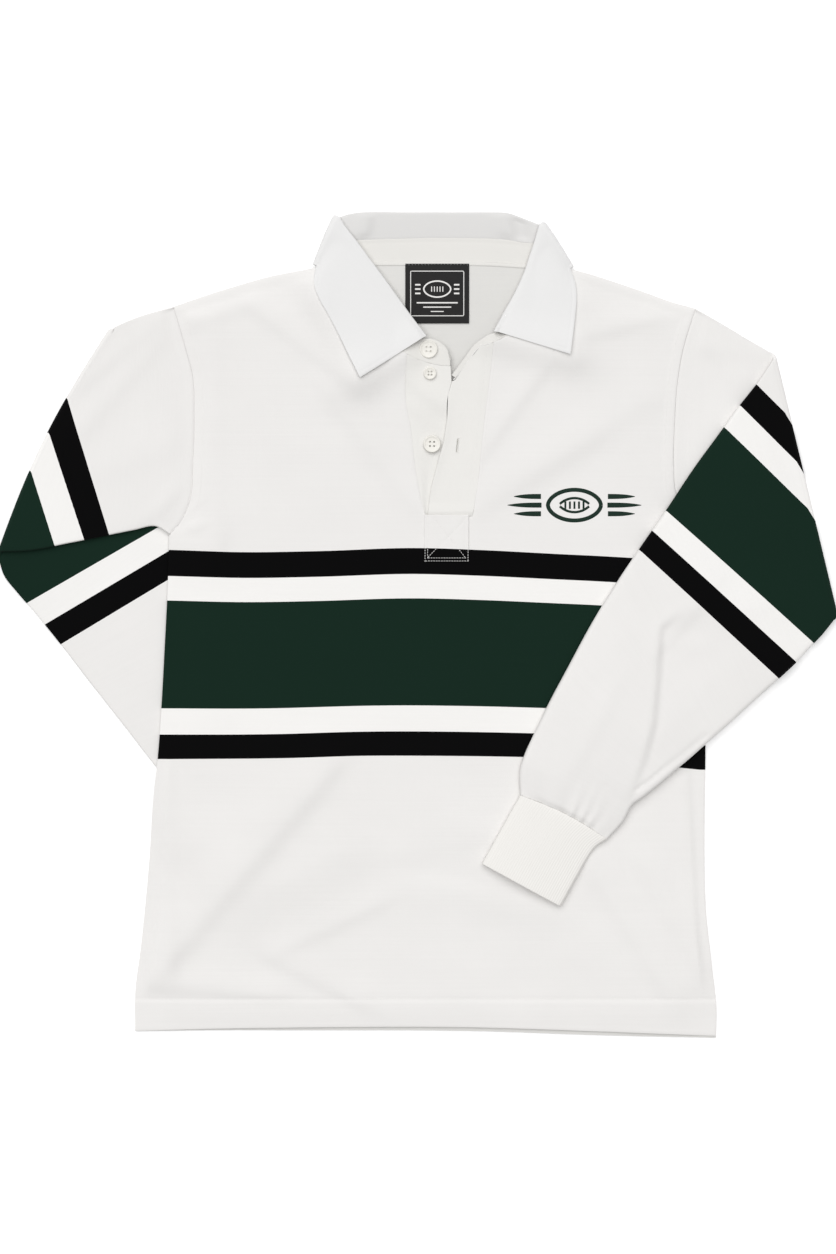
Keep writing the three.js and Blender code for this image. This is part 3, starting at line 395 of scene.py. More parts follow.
def under_height(x, y):
    """The under strip sinks where the upper one covers it."""
    t = np.clip((y - SLOT_FOOT) / 151, 0, 1)
    seam = on_line(SLOT_LEFT, t, False)[..., 0]
    free = on_line(UPPER_FREE_EDGE, t, False)[..., 0]
    sunk = ease((x - seam) / np.maximum(2.2, free - seam - 1.5))
    return front_under(x, y) - STRIP_DROP * ease((212 - y) / 26) * sunk


# Making pieces
def link(name, bm, finish):
    """A bmesh becomes a piece that rides on the shirt."""
    mesh = bpy.data.meshes.new(name)
    bm.to_mesh(mesh)
    bm.free()
    mesh.materials.append(finish)
    piece = bpy.data.objects.new(name, mesh)
    scene.collection.objects.link(piece)
    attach(piece, "root")
    return piece


def cloth(name, points, finish, thick, middle=False, bands=None, weave=None, cut=None, closed=False, rim=0.2,
          back_of=None):
    """A sheet or tube of cloth: a grid laid on points [row][column] in mm, then given its thickness."""
    rows, columns = points.shape[:2]
    bm = bmesh.new()
    bmesh.ops.create_grid(bm, x_segments=columns - 1, y_segments=rows - 1, size=0.5)
    band = bm.verts.layers.float.new("band")
    threads = bm.loops.layers.uv.new("cloth")
    where = {}
    for v in bm.verts:
        where[v] = (round((v.co.y + 0.5) * (rows - 1)), round((v.co.x + 0.5) * (columns - 1)))
    if weave is None:
        weave = points[..., :2]
    for face in bm.faces:
        for loop in face.loops:
            loop[threads].uv = weave[where[loop.vert]] / 1000
    for v, at in where.items():
        v.co = points[at] / 1000
        v[band] = -1 if bands is None else bands[at]
    if cut is not None:
        gone = [f for f in bm.faces if cut(*np.min([where[v] for v in f.verts], axis=0))]
        bmesh.ops.delete(bm, geom=gone, context="FACES")
    if closed:
        bmesh.ops.remove_doubles(bm, verts=bm.verts, dist=1e-6)
    for face in bm.faces:
        face.smooth = True
    piece = link(name, bm, finish)
    wall = piece.modifiers.new("thickness", "SOLIDIFY")
    wall.thickness = thick / 1000
    wall.offset = 0 if middle else -1
    wall.use_even_offset = not closed
    if back_of:
        piece.data.materials.append(back_of)
        wall.material_offset = 1
    if rim:
        soft = piece.modifiers.new("soft edge", "BEVEL")
        soft.width = rim / 1000
        soft.segments = 2
        soft.limit_method = "ANGLE"
        soft.angle_limit = math.radians(60)
        soft.harden_normals = False
    return piece


def faces_out(points):
    """Whether the faces of a tube's grid would point outwards."""
    middle = points.mean(axis=1, keepdims=True)
    normal = np.cross(np.gradient(points, axis=1), np.gradient(points, axis=0))
    return (normal * (points - middle)).sum() > 0


# Finishes
def add(tree, kind, feeds=None, **settings):
    """A node, with what feeds its sockets."""
    made = tree.nodes.new(kind)
    for key, value in settings.items():
        setattr(made, key, value)
    for key, value in (feeds or {}).items():
        socket = made.inputs[key]
        if isinstance(value, bpy.types.NodeSocket):
            tree.links.new(value, socket)
        else:
            socket.default_value = value
    return made


def blank(name, **shader):
    finish = bpy.data.materials.new(name)
    finish.use_nodes = True
    tree = finish.node_tree
    cloth_shader = tree.nodes["Principled BSDF"]
    for key, value in shader.items():
        cloth_shader.inputs[key.replace("_", " ")].default_value = value
    return finish, tree, cloth_shader


def tinted(tree, base, by, low, high, amount):
    """A colour that a pattern makes a little darker and lighter."""
    shade = add(tree, "ShaderNodeMapRange", {"Value": by, "From Min": low, "From Max": high,
                                            "To Min": 1 - amount, "To Max": 1 + amount})
    grey = add(tree, "ShaderNodeCombineColor", {k: shade.outputs[0] for k in ("Red", "Green", "Blue")})
    return add(tree, "ShaderNodeMix", {"Factor": 1.0, "A": base, "B": grey.outputs[0]},
               data_type="RGBA", blend_type="MULTIPLY").outputs["Result"]


def plain(tree, colour):
    base = add(tree, "ShaderNodeRGB").outputs[0]
    base.default_value = colour
    return base


def waves(tree, where, pitch, way):
    """Even ridges at a pitch in mm."""
    return add(tree, "ShaderNodeTexWave", {"Vector": where, "Scale": WAVE_PERIOD * 1000 / pitch},
               bands_direction=way).outputs["Fac"]


def on_object(tree, pattern, **feeds):
    """A pattern laid on the piece's own place in the shirt."""
    place = add(tree, "ShaderNodeTexCoord").outputs["Object"]
    return add(tree, pattern, {"Vector": place, **feeds}).outputs["Fac"]


WHITE_YARN = (0.800, 0.786, 0.771, 1)
# Inner face of the jersey: a creamier reverse side, darkened further as painted shade for the back seen deep inside
# the neck opening
INSIDE_SHADED_YARN = (0.708, 0.699, 0.677, 1)
PLACKET_YARN = (0.796, 0.784, 0.757, 1)
STRIPE_WHITE = (0.856, 0.844, 0.826, 1)
GREEN_YARN = (0.0072, 0.0215, 0.0140, 1)
BLACK_YARN = (0.0021, 0.0020, 0.0022, 1)
COLLAR_WHITE = (0.776, 0.772, 0.768, 1)
# Darker tone of the under collar: painted shade for the part that turns down beneath the roll
UNDER_COLLAR_SHADE = (0.702, 0.694, 0.684, 1)
STAND_WHITE = (0.755, 0.742, 0.713, 1)
RIB_WHITE = (0.820, 0.803, 0.774, 1)


def banded(tree, threads, yarn):
    """The woven-in bands, with a slightly uneven edge from loop to loop."""
    band = add(tree, "ShaderNodeAttribute", attribute_name="band").outputs["Fac"]
    wander = add(tree, "ShaderNodeTexNoise", {"Vector": threads, "Scale": 900.0, "Detail": 1.0}).outputs[0]
    rough_edge = add(tree, "ShaderNodeMath", {0: wander, 1: 0.001, 2: -0.0005}, operation="MULTIPLY_ADD")
    place = add(tree, "ShaderNodeMath", {0: band, 1: rough_edge.outputs[0]}, operation="ADD")
    place = add(tree, "ShaderNodeMath", {0: place.outputs[0], 1: 0.5, 2: 0.25}, operation="MULTIPLY_ADD")
    ramp = add(tree, "ShaderNodeValToRGB", {0: place.outputs[0]})
    ramp.color_ramp.interpolation = "CONSTANT"
    stops = [yarn, BLACK_YARN, STRIPE_WHITE, GREEN_YARN, STRIPE_WHITE, BLACK_YARN, yarn]
    for k, (mark, colour) in enumerate(zip([0.0] + [0.5 * b + 0.25 for b in BANDS], stops)):
        stop = ramp.color_ramp.elements[k] if k < 2 else ramp.color_ramp.elements.new(mark)
        stop.position, stop.color = mark, colour
    return ramp.outputs[0]


def lined_with_shade(tree, yarn, inner):
    """One colour outside, and a darker one on the inner face that the attribute marks, as painted shade."""
    inside = add(tree, "ShaderNodeAttribute", attribute_name="band").outputs["Fac"]
    return add(tree, "ShaderNodeMix", {"Factor": inside, "A": yarn, "B": inner}, data_type="RGBA").outputs["Result"]


def knit(name, yarn, bands=False, inner=None, wale=0.8, course=0.65, depth=0.00010, ribbed=False, slub=0.006):
    """Cotton knit: loops in rows and columns, uneven yarn and a soft bloom."""
    finish, tree, shader = blank(name, Roughness=0.95, Sheen_Weight=0.03, Sheen_Roughness=0.5,
                                 Specular_IOR_Level=0.06)
    threads = add(tree, "ShaderNodeUVMap", uv_map="cloth").outputs[0]
    along = (420, 7, 1) if ribbed else (7, 420, 1)
    streaks = add(tree, "ShaderNodeTexNoise", {
        "Vector": add(tree, "ShaderNodeMapping", {"Vector": threads, "Scale": along}).outputs[0],
        "Scale": 1.0, "Detail": 3.0}).outputs[0]
    clouds = add(tree, "ShaderNodeTexNoise", {"Vector": threads, "Scale": 14.0, "Detail": 4.0}).outputs[0]
    if bands:
        base = banded(tree, threads, yarn)
    elif inner:
        base = lined_with_shade(tree, yarn, inner)
    else:
        base = plain(tree, yarn)
    base = tinted(tree, base, streaks, 0.3, 0.7, slub)
    base = tinted(tree, base, clouds, 0.3, 0.7, 0.008)
    tree.links.new(base, shader.inputs["Base Color"])
    wales, courses = waves(tree, threads, wale, "X"), waves(tree, threads, course, "Y")
    if ribbed:
        courses = add(tree, "ShaderNodeMath", {0: courses, 1: 0.04}, operation="MULTIPLY").outputs[0]
    loops = add(tree, "ShaderNodeMath", {0: wales, 1: courses}, operation="ADD")
    first = add(tree, "ShaderNodeBump", {"Height": loops.outputs[0], "Strength": 0.5, "Distance": depth})
    second = add(tree, "ShaderNodeBump", {"Height": streaks, "Strength": 0.25, "Distance": 0.0003,
                                         "Normal": first.outputs[0]})
    tree.links.new(second.outputs[0], shader.inputs["Normal"])
    return finish


striped_jersey = knit("striped_jersey", WHITE_YARN, bands=True)
# Banded knit for the back's inner face, its white yarn darkened as painted shade
shaded_inside_jersey = knit("shaded_inside_jersey", INSIDE_SHADED_YARN, bands=True)
placket_jersey = knit("placket_jersey", PLACKET_YARN, slub=0.003)
# The collar cloth's inner face takes the painted shade colour
collar_cloth = knit("collar_cloth", COLLAR_WHITE, inner=UNDER_COLLAR_SHADE, wale=0.7, course=0.7, depth=0.00006, slub=0.002)
stand_cloth = knit("stand_cloth", STAND_WHITE, wale=0.7, course=0.7, depth=0.00006, slub=0.002)
rib_cloth = knit("rib_cloth", RIB_WHITE, wale=2.3, course=0.8, depth=0.0004, ribbed=True, slub=0.002)


def thread_finish(name, colour):
    finish, tree, shader = blank(name, Roughness=0.7, Sheen_Weight=0.05, Specular_IOR_Level=0.12)
    twist = on_object(tree, "ShaderNodeTexNoise", Scale=2500.0, Detail=2.0)
    tree.links.new(tinted(tree, plain(tree, colour), twist, 0.3, 0.7, 0.12), shader.inputs["Base Color"])
    bump = add(tree, "ShaderNodeBump", {"Height": twist, "Strength": 0.4, "Distance": 0.0002})
    tree.links.new(bump.outputs[0], shader.inputs["Normal"])
    return finish


white_thread = thread_finish("white_thread", (0.80, 0.79, 0.77, 1))
green_thread = thread_finish("green_thread", (0.009, 0.025, 0.0165, 1))
# A dark olive colour for the buttonhole's slit: painted shadow where the slit opens
painted_slit_shadow = thread_finish("painted_slit_shadow", (0.16, 0.15, 0.10, 1))


def label_finish():
    """Black satin-woven tape."""
    finish, tree, shader = blank("label_cloth", Roughness=0.62, Sheen_Weight=0.05, Specular_IOR_Level=0.3)
    place = add(tree, "ShaderNodeTexCoord").outputs["Object"]
    weft = waves(tree, place, LABEL_WEFT, "Y")
    flecks = on_object(tree, "ShaderNodeTexNoise", Scale=1800.0, Detail=2.0)
    black = plain(tree, (0.0042, 0.0038, 0.0035, 1))
    tree.links.new(tinted(tree, black, flecks, 0.3, 0.7, 0.25), shader.inputs["Base Color"])
    bump = add(tree, "ShaderNodeBump", {"Height": weft, "Strength": 0.4, "Distance": 0.0001})
    tree.links.new(bump.outputs[0], shader.inputs["Normal"])
    return finish


label_cloth = label_finish()


def button_finish():
    """Off-white moulded resin with a faint swirl."""
    finish, tree, shader = blank("button_resin", Roughness=0.45, Specular_IOR_Level=0.25)
    swirl = on_object(tree, "ShaderNodeTexNoise", Scale=240.0, Detail=3.0, Distortion=1.6)
    resin = plain(tree, (0.80, 0.78, 0.73, 1))
    tree.links.new(tinted(tree, resin, swirl, 0.3, 0.7, 0.05), shader.inputs["Base Color"])
    return finish


button_resin = button_finish()


# Bands of coloured yarn
def body_bands(x, y):
    """How far down the set of bands a point of the body lies."""
    top = curve(np.clip(x, *BAND_ENDS), BODY_BAND_TOP[:, 0], BODY_BAND_TOP[:, 1])
    foot = curve(np.clip(x, *BAND_ENDS), BODY_BAND_FOOT[:, 0], BODY_BAND_FOOT[:, 1])
    return (top - y) / (top - foot)


def sleeve_bands(lines, x, y):
    """How far along the set of bands a point of the flat sleeve lies."""
    gaps = []
    for x0, y0, x1, y1 in lines:
        length = math.hypot(x1 - x0, y1 - y0)
        gaps.append(((x - x0) * (y1 - y0) - (y - y0) * (x1 - x0)) / length)
    gaps = np.array(gaps)
    band = BANDS[0] + gaps[0] / 24 * (BANDS[1] - BANDS[0])
    for k in range(5):
        a, b = gaps[k], gaps[k + 1]
        share = a / np.where(np.abs(a - b) < 1e-6, 1, a - b)
        band = np.where(a > 0, BANDS[k] + (BANDS[k + 1] - BANDS[k]) * share, band)
    return np.where(gaps[5] > 0, 1 + gaps[5] / 24 * (BANDS[5] - BANDS[4]), band)


def mirrored(x, y, line, out, more):
    """The far side of an elbow fold, opened out flat."""
    x0, y0 = line[:2]
    away_by = (x - x0) * out[0] + (y - y0) * out[1]
    by = -2 * away_by + more
    return x + out[0] * by, y + out[1] * by


# Body
def left_edge(y):
    return np.where(y < PIT_LEVEL, curve(y, SIDE_LEFT[:, 1], SIDE_LEFT[:, 0]),
                    curve(y, ARMHOLE_LEFT[:, 1], ARMHOLE_LEFT[:, 0]))


def right_edge(y):
    return np.where(y < PIT_LEVEL, curve(y, SIDE_RIGHT[:, 1], SIDE_RIGHT[:, 0]),
                    curve(y, ARMHOLE_RIGHT[:, 1], ARMHOLE_RIGHT[:, 0]))


def shoulders(x, neck):
    y = np.interp(x, neck[:, 0], neck[:, 1])
    y = np.where(x < NECK_ENDS[0], curve(x, SHOULDER_LEFT[:, 0], SHOULDER_LEFT[:, 1]), y)
    return np.where(x > NECK_ENDS[1], curve(x, SHOULDER_RIGHT[:, 0], SHOULDER_RIGHT[:, 1]), y)


NECK_FRONT = np.concatenate([
    COLLAR_FRONT_LEFT[::-1, :2] - (0.2, 0.4), [(20, 236)], [(70.5, 260.6)],
    COLLAR_FRONT_RIGHT[::-1, :2] - (-0.2, 0.4)])
SHARES = np.concatenate([
    np.linspace(0, 0.03, 15)[:-1], np.linspace(0.03, 0.4826, 60)[:-1], np.linspace(0.4826, 0.5758, 15)[:-1],
    np.linspace(0.5758, 0.97, 52)[:-1], np.linspace(0.97, 1, 15)])
SLOT_COLUMNS = (73, 87)
FOOT_ROW = 124


def body_grid(hem, neck, slotted):
    """Plan of a body panel [row][column]; the front's columns follow the edges of its slot."""
    u = SHARES[None, :]

    def across(y):
        plain = mix(left_edge(y), right_edge(y), u)
        if not slotted:
            return plain
        slot_left = curve(np.maximum(y, SLOT_FOOT), SLOT_LEFT[:, 1], SLOT_LEFT[:, 0])
        slot_right = curve(np.maximum(y, SLOT_FOOT), SLOT_RIGHT[:, 1], SLOT_RIGHT[:, 0])
        a, b = u[0, SLOT_COLUMNS[0]], u[0, SLOT_COLUMNS[1]]
        fitted = np.where(u < a, mix(left_edge(y), slot_left, u / a),
                          np.where(u > b, mix(slot_right, right_edge(y), (u - b) / (1 - b)),
                                   mix(slot_left, slot_right, (u - a) / (b - a))))
        return mix(plain, fitted, ease((y + 80) / 180))

    low = np.full(u.shape, HEM_FOOT)
    top = np.full(u.shape, 290.0)
    for _ in range(25):
        low = mix(low, curve(across(low), hem[:, 0], hem[:, 1]), 0.6)
        top = mix(top, shoulders(across(top), neck), 0.5)
    hem_rows = np.linspace(0, 1, 9)[:-1, None]
    y = np.concatenate([
        mix(low, -352, hem_rows), np.linspace(-352, -340, 13)[:-1, None] + 0 * u,
        np.linspace(-340, SLOT_FOOT, FOOT_ROW - 19)[:-1, None] + 0 * u,
        mix(SLOT_FOOT, top, np.linspace(0, 1, 70)[:, None])])
    return across(y), y


def body_front():
    x, y = body_grid(HEM_FRONT, NECK_FRONT, True)
    points = plate(x, y, front_top(x, y))
    return cloth("shirt_front", points, striped_jersey, JERSEY, bands=body_bands(x, y),
                 cut=lambda j, i: j >= FOOT_ROW and SLOT_COLUMNS[0] <= i < SLOT_COLUMNS[1])


def body_back():
    x, y = body_grid(HEM_BACK, NECK_BACK + (0, 0.5), False)
    z = back_under(x, y) + JERSEY + HEM_TURN * ease((HEM_LINE - y) / 3)
    z -= 0.25 * bell(y - HEM_LINE, 1.6)
    # The back's upper face takes the inner yarn with its painted shade; its underside takes the outer striped jersey
    return cloth("shirt_back", plate(x, y, z), shaded_inside_jersey, JERSEY, bands=body_bands(x, y),
                 back_of=striped_jersey)


# Sleeves
ACROSS = 56
ENDS = 7


def inset_line(row, inset, count):
    """The middle line of a tube's row, short of both of its edges."""
    ax, ay, bx, by = row[:4]
    t = inset / math.hypot(bx - ax, by - ay)
    s = mix(t, 1 - t, np.linspace(0, 1, count + 1))
    return plate(mix(ax, bx, s), mix(ay, by, s))


def hump(count):
    """How far a laid tube's upper side stands up across its width."""
    return np.sin(np.pi * np.linspace(0, 1, count + 1)) ** 0.8


def rings(base, middle, angle, out, turn, shift, up, down, air, thick):
    """Flattened rings round a tube, all rows at once: base [row][step][xy], the rest by row or by row and step."""
    a = np.radians(angle)[:, None]
    side = -turn * np.sin(a)
    facing = plate(out[0] * side, out[1] * side, np.cos(a))
    centre = np.concatenate([base, middle[..., None]], axis=-1) + shift[:, None, :]
    along = np.gradient(base, axis=1)
    along /= np.linalg.norm(along, axis=-1, keepdims=True)
    along = np.concatenate([along, np.zeros(along.shape[:2] + (1,))], axis=-1)
    upper = centre + facing * (up + thick)[..., None]
    lower = centre - facing * (down + thick)[..., None]
    edge = (air + thick)[:, None, None]
    swing = np.radians(np.linspace(0, 180, ENDS + 2)[1:-1])[None, :, None]
    far = centre[:, -1:] + edge * (along[:, -1:] * np.sin(swing) + facing * np.cos(swing))
    near = centre[:, :1] + edge * (facing * np.cos(swing[:, ::-1]) - along[:, :1] * np.sin(swing))
    return np.concatenate([upper, far, lower[:, ::-1], near, upper[:, :1]], axis=1)


UNDERARM_FOLD = [(268, -102), (262, -106.5), (236.8, -126.3), (214, -144.5), (203, -152.5)]


def crease_drop(x, y):
    """The forearm's cloth drops beside its long crease and rises again towards the under edge."""
    near = away(FOREARM_CREASE, x, y)
    at = np.interp(y, FOREARM_CREASE[::-1, 1], FOREARM_CREASE[::-1, 0])
    start = ease((FOREARM_CREASE[0, 1] + 6 - y) / 30)
    low = np.where(x > at, 4.6 * ease(near / 7) * np.exp(-near / 50), -0.9 * bell(near, 9))
    return low * start


def round_and_along(points, base):
    around = np.concatenate([[0], np.cumsum(np.linalg.norm(np.diff(points, axis=1), axis=-1).mean(0))])
    along = run_of(base[:, base.shape[1] // 2])
    return np.stack(np.broadcast_arrays(around[None, :], along[:, None]), axis=-1)


def tube(name, points, weave, finish, thick, bands=None):
    """A tube of cloth whose faces point outwards."""
    if not faces_out(points):
        points, weave = points[:, ::-1], weave[:, ::-1]
        bands = None if bands is None else bands[:, ::-1]
    return cloth(name, points, finish, thick, bands=bands, weave=weave, closed=True)


def straight_way(row):
    """The way from a row's under edge to its outer edge."""
    way = np.subtract(row[:2], row[2:4])
    return way / np.linalg.norm(way)


def sleeve(name, arm, edge_at, armhole, bands_at):
    """A sleeve as one bent tube, from its armhole round the elbow's fold to the cuff."""
    out, turn = np.array(arm["out"]), arm["turn"]
    pit, tip = armhole[0], armhole[-1]
    edge = TUBE_EDGE + JERSEY
    steps = np.linspace(0, 1, ACROSS + 1)
    swell = np.sin(np.pi * steps)[:, None] * out
    y = mix(tip[1], pit[1], steps)
    sewn = plate(edge_at(y) + 0.05 * turn, y)
    straight = inset_line((*tip, *pit), edge, ACROSS)
    bow = sewn - tip - (pit - tip) * steps[:, None]
    for end in (0, -1):
        sewn[end] = edge_at(straight[end, 1]) + 0.05 * turn, straight[end, 1]

    axis = inset_line(arm["elbow"], edge, ACROSS) - out * (arm["bend"] + edge) + swell * arm["bulge"]
    top = (ARM_RISE if turn < 0 else 0) + edge
    count = len(arm["upper"]) + 1
    control = [sewn]
    for n, row in enumerate(arm["upper"], 1):
        control.append(inset_line(row, edge, ACROSS) + bow * (1 - n / count) ** 2 + swell * arm["bulge"] * n / count)
    slide = arm["slide"] * (straight_way(arm["elbow"]))
    control = np.array(control + [axis + slide])
    run = run_of(control[:, ACROSS // 2])
    rows = 48
    t = run[-1] * np.linspace(0, 1, rows) ** 1.5
    upper = curve(t, run, control)
    ux, uy = upper[..., 0], upper[..., 1]
    upper_z = (arm_lift(ux, uy) if turn < 0 else 0) + edge + np.zeros(ux.shape)
    puff = curve(t, run, [0] + [r[4] for r in arm["upper"]] + [0])[:, None] * hump(ACROSS)
    puff += ARM_CREASE_SCALE * creases(ux, uy, ARM_CREASES) * ease(t[:, None] / 20) * hump(ACROSS) ** 0.5
    sewn_z = front_under(sewn[:, 0], sewn[:, 1]) - upper_z[0]
    upper_air = mix(sewn_z[None, :], TUBE_EDGE + puff, ease(t[:, None] / 26)) - 0.7 * bell(t[:, None], 1.4)

    far = top + 2 * turn * arm["bend"]
    control, heights, puffs = [axis - slide], [far], [0]
    for n, row in enumerate(arm["fore"], 1):
        control.append(inset_line(row, edge, ACROSS) + swell * arm["bulge"] * max(0, 1 - n / 3))
        heights.append(mix(far, OVER_BODY, float(ease(n / 4))) if turn > 0 else far)
        puffs.append(row[4])
    control[-1] = control[-1] + seam_bow(arm, ACROSS)
    run = run_of(np.array(control)[:, ACROSS // 2])
    fore_rows = 130
    t = run[-1] * (1 - (1 - np.linspace(0, 1, fore_rows)) ** 1.25)
    fore = curve(t, run, np.array(control))
    fx, fy = fore[..., 0], fore[..., 1]
    air = TUBE_EDGE + arm["fuller"] * ease(t / 70) * (1 - 0.5 * ease((t - run[-1] + 30) / 30))
    fore_z = (curve(t, run, heights) + (air - TUBE_EDGE))[:, None] + np.zeros(fx.shape)
    puff = curve(t, run, puffs)[:, None] * hump(ACROSS)
    if turn > 0:
        left = run[-1] - t[:, None]
        gather = np.cos(2 * np.pi * (steps * 6.1 + 0.4 * np.sin(steps * 9)))[None, :]
        creased = FOREARM_CREASE_SCALE * creases(fx, fy, FOREARM_CREASES)
        puff = np.maximum(0, puff - crease_drop(fx, fy) * hump(ACROSS) + creased * hump(ACROSS))
        puff += (1.3 * gather * np.exp(-left / 13) + 2.0 * bell(left, 18)) * hump(ACROSS)
        puff -= 2.2 * bell(left, 2.6) * hump(ACROSS)
        puff -= 1.5 * bell(away(UNDERARM_FOLD, fx, fy), 1.7)
    puff = puff + ripple(fx, fy, 5, 60, 0.1) * hump(ACROSS)

    bends = np.linspace(0, 180, 18)[1:-1]
    n_b = len(bends)
    angle = np.concatenate([np.zeros(rows), bends, np.full(fore_rows, 180.0)])
    shift = np.zeros((len(angle), 3))
    shift[rows:rows + n_b, :2] = arm["bend"] * np.sin(np.radians(bends))[:, None] * out
    shift[rows:rows + n_b, :2] += np.cos(np.radians(bends))[:, None] * slide
    shift[rows:rows + n_b, 2] = -turn * arm["bend"] * np.cos(np.radians(bends))
    base = np.concatenate([upper, np.repeat(axis[None], n_b, axis=0), fore])
    middle = np.concatenate([upper_z, np.full((n_b, ACROSS + 1), top + turn * arm["bend"]), fore_z])
    air = np.concatenate([np.full(rows + n_b, TUBE_EDGE), air])
    up = np.repeat(air[:, None], ACROSS + 1, axis=1)
    down = up.copy()
    up[:rows] = upper_air
    down[rows + n_b:] += puff
    points = rings(base, middle, angle, out, turn, shift, up, down, air, JERSEY)
    part = np.concatenate([np.zeros(rows), np.linspace(0, 1, n_b + 2)[1:-1], np.ones(fore_rows)])[:, None]
    bands = bands_at(arm, points[..., 0], points[..., 1], part)
    return tube(name, points, round_and_along(points, base), striped_jersey, JERSEY, bands)


def over_bands(arm, x, y, part):
    """Read on the forearm, which lies on top; the upper arm is opened out from under it."""
    mx, my = mirrored(x, y, arm["elbow"], arm["out"], math.pi * arm["bend"])
    return sleeve_bands(OVER_BANDS, mix(mx, x, part), mix(my, y, part))


def under_bands(arm, x, y, part):
    """Read on the upper arm; the forearm's band edges are opened out from beneath it."""
    line, out, arc = arm["elbow"], arm["out"], math.pi * arm["bend"]
    lines = list(UNDER_BANDS_UPPER)
    for x0, y0, x1, y1 in UNDER_BANDS_FORE:
        lines.append((*mirrored(x1, y1, line, out, arc), *mirrored(x0, y0, line, out, arc)))
    mx, my = mirrored(x, y, line, out, arc)
    return sleeve_bands(lines, mix(x, mx, part), mix(y, my, part))


def seam_way(arm):
    inner, outer = (np.reshape(arm[key][n][:4], (2, 2)).mean(0) for key, n in (("fore", -2), ("cuff", 1)))
    return (inner - outer) / np.linalg.norm(inner - outer)


def seam_bow(arm, steps):
    """The seam of sleeve and cuff bows towards the sleeve."""
    return SEAM_BOW * np.sin(np.pi * np.linspace(0, 1, steps + 1))[:, None] * seam_way(arm)


def cuff(name, arm):
    """A ribbed cuff, sewn to the sleeve's end."""
    rows, steps = 44, 44
    low = OVER_BODY - TUBE_EDGE - JERSEY if arm["turn"] > 0 else 0
    control = np.array([inset_line(row, TUBE_EDGE + CUFF_RIB, steps) for row in arm["cuff"]])
    control[0] = inset_line(arm["fore"][-1], TUBE_EDGE + CUFF_RIB, steps) + seam_bow(arm, steps)
    control[0] -= 0.06 * seam_way(arm)
    run = run_of(control[:, steps // 2])
    t = np.linspace(0, run[-1], rows)
    base = curve(t, run, control)
    air = np.full(rows, TUBE_EDGE + 0.5 * arm["fuller"])
    puff = curve(t, run, [row[4] for row in arm["cuff"]])[:, None] * hump(steps)
    s = np.linspace(0, 1, steps + 1)
    if arm["turn"] > 0:
        puff = puff + 0.5 * bell(s - 0.12 - 0.3 * t[:, None] / run[-1], 0.12) * ease(1 - t[:, None] / 45)
    puff = puff - 0.5 * bell(t[:, None], 1.8) * hump(steps)
    level = np.repeat(air[:, None], steps + 1, axis=1)
    middle = level + low + CUFF_RIB
    points = rings(base, middle, np.zeros(rows), (0, 0), 1, np.zeros((rows, 3)), level + puff, level, air, CUFF_RIB)
    return tube(name, points, round_and_along(points, base), rib_cloth, CUFF_RIB)


# Collar
def turned(xy, front_z, back_z, angle, out):
    """Points at the front height, at the back height, or on their way round the fold between them."""
    a = np.radians(angle)
    half = (front_z - back_z) / 2
    return np.concatenate([xy + out * (half * np.cos(a))[..., None],
                           ((front_z + back_z) / 2 + half * np.sin(a))[..., None]], axis=-1)


def spread(table, shares):
    """A table's rows at shares of its length, taken along its two outermost lines."""
    run = run_of(table[:, -2:]) + run_of(table[:, :2])
    return curve(shares * run[-1], run, table)


def collar_sections(left, back, right, counts):
    """Rows of the collar from its left front round the back to its right front, with the turn at each."""
    first = np.linspace(0, 1, counts[0]) ** 1.5
    last = 1 - np.linspace(1, 0, counts[2]) ** 1.5
    parts = [spread(left, first), np.repeat(left[-1:], 15, axis=0), spread(back, np.linspace(0, 1, counts[1])),
             np.repeat(right[:1], 15, axis=0), spread(right, last)]
    bend = np.linspace(90, -90, 17)[1:-1]
    turns = [np.full(counts[0], 90.0), bend, np.full(counts[1], -90.0), bend[::-1], np.full(counts[2], 90.0)]
    outs = [np.tile(FOLD_OUT_LEFT, (counts[0] + 15 + counts[1], 1)), np.tile(FOLD_OUT_RIGHT, (15 + counts[2], 1))]
    return np.concatenate(parts), np.concatenate(turns)[:, None], np.concatenate(outs)[:, None, :]


def sheet_weave(points, row, column):
    return np.stack(np.broadcast_arrays(run_of(points[:, column])[:, None], run_of(points[row])[None, :]), axis=-1)


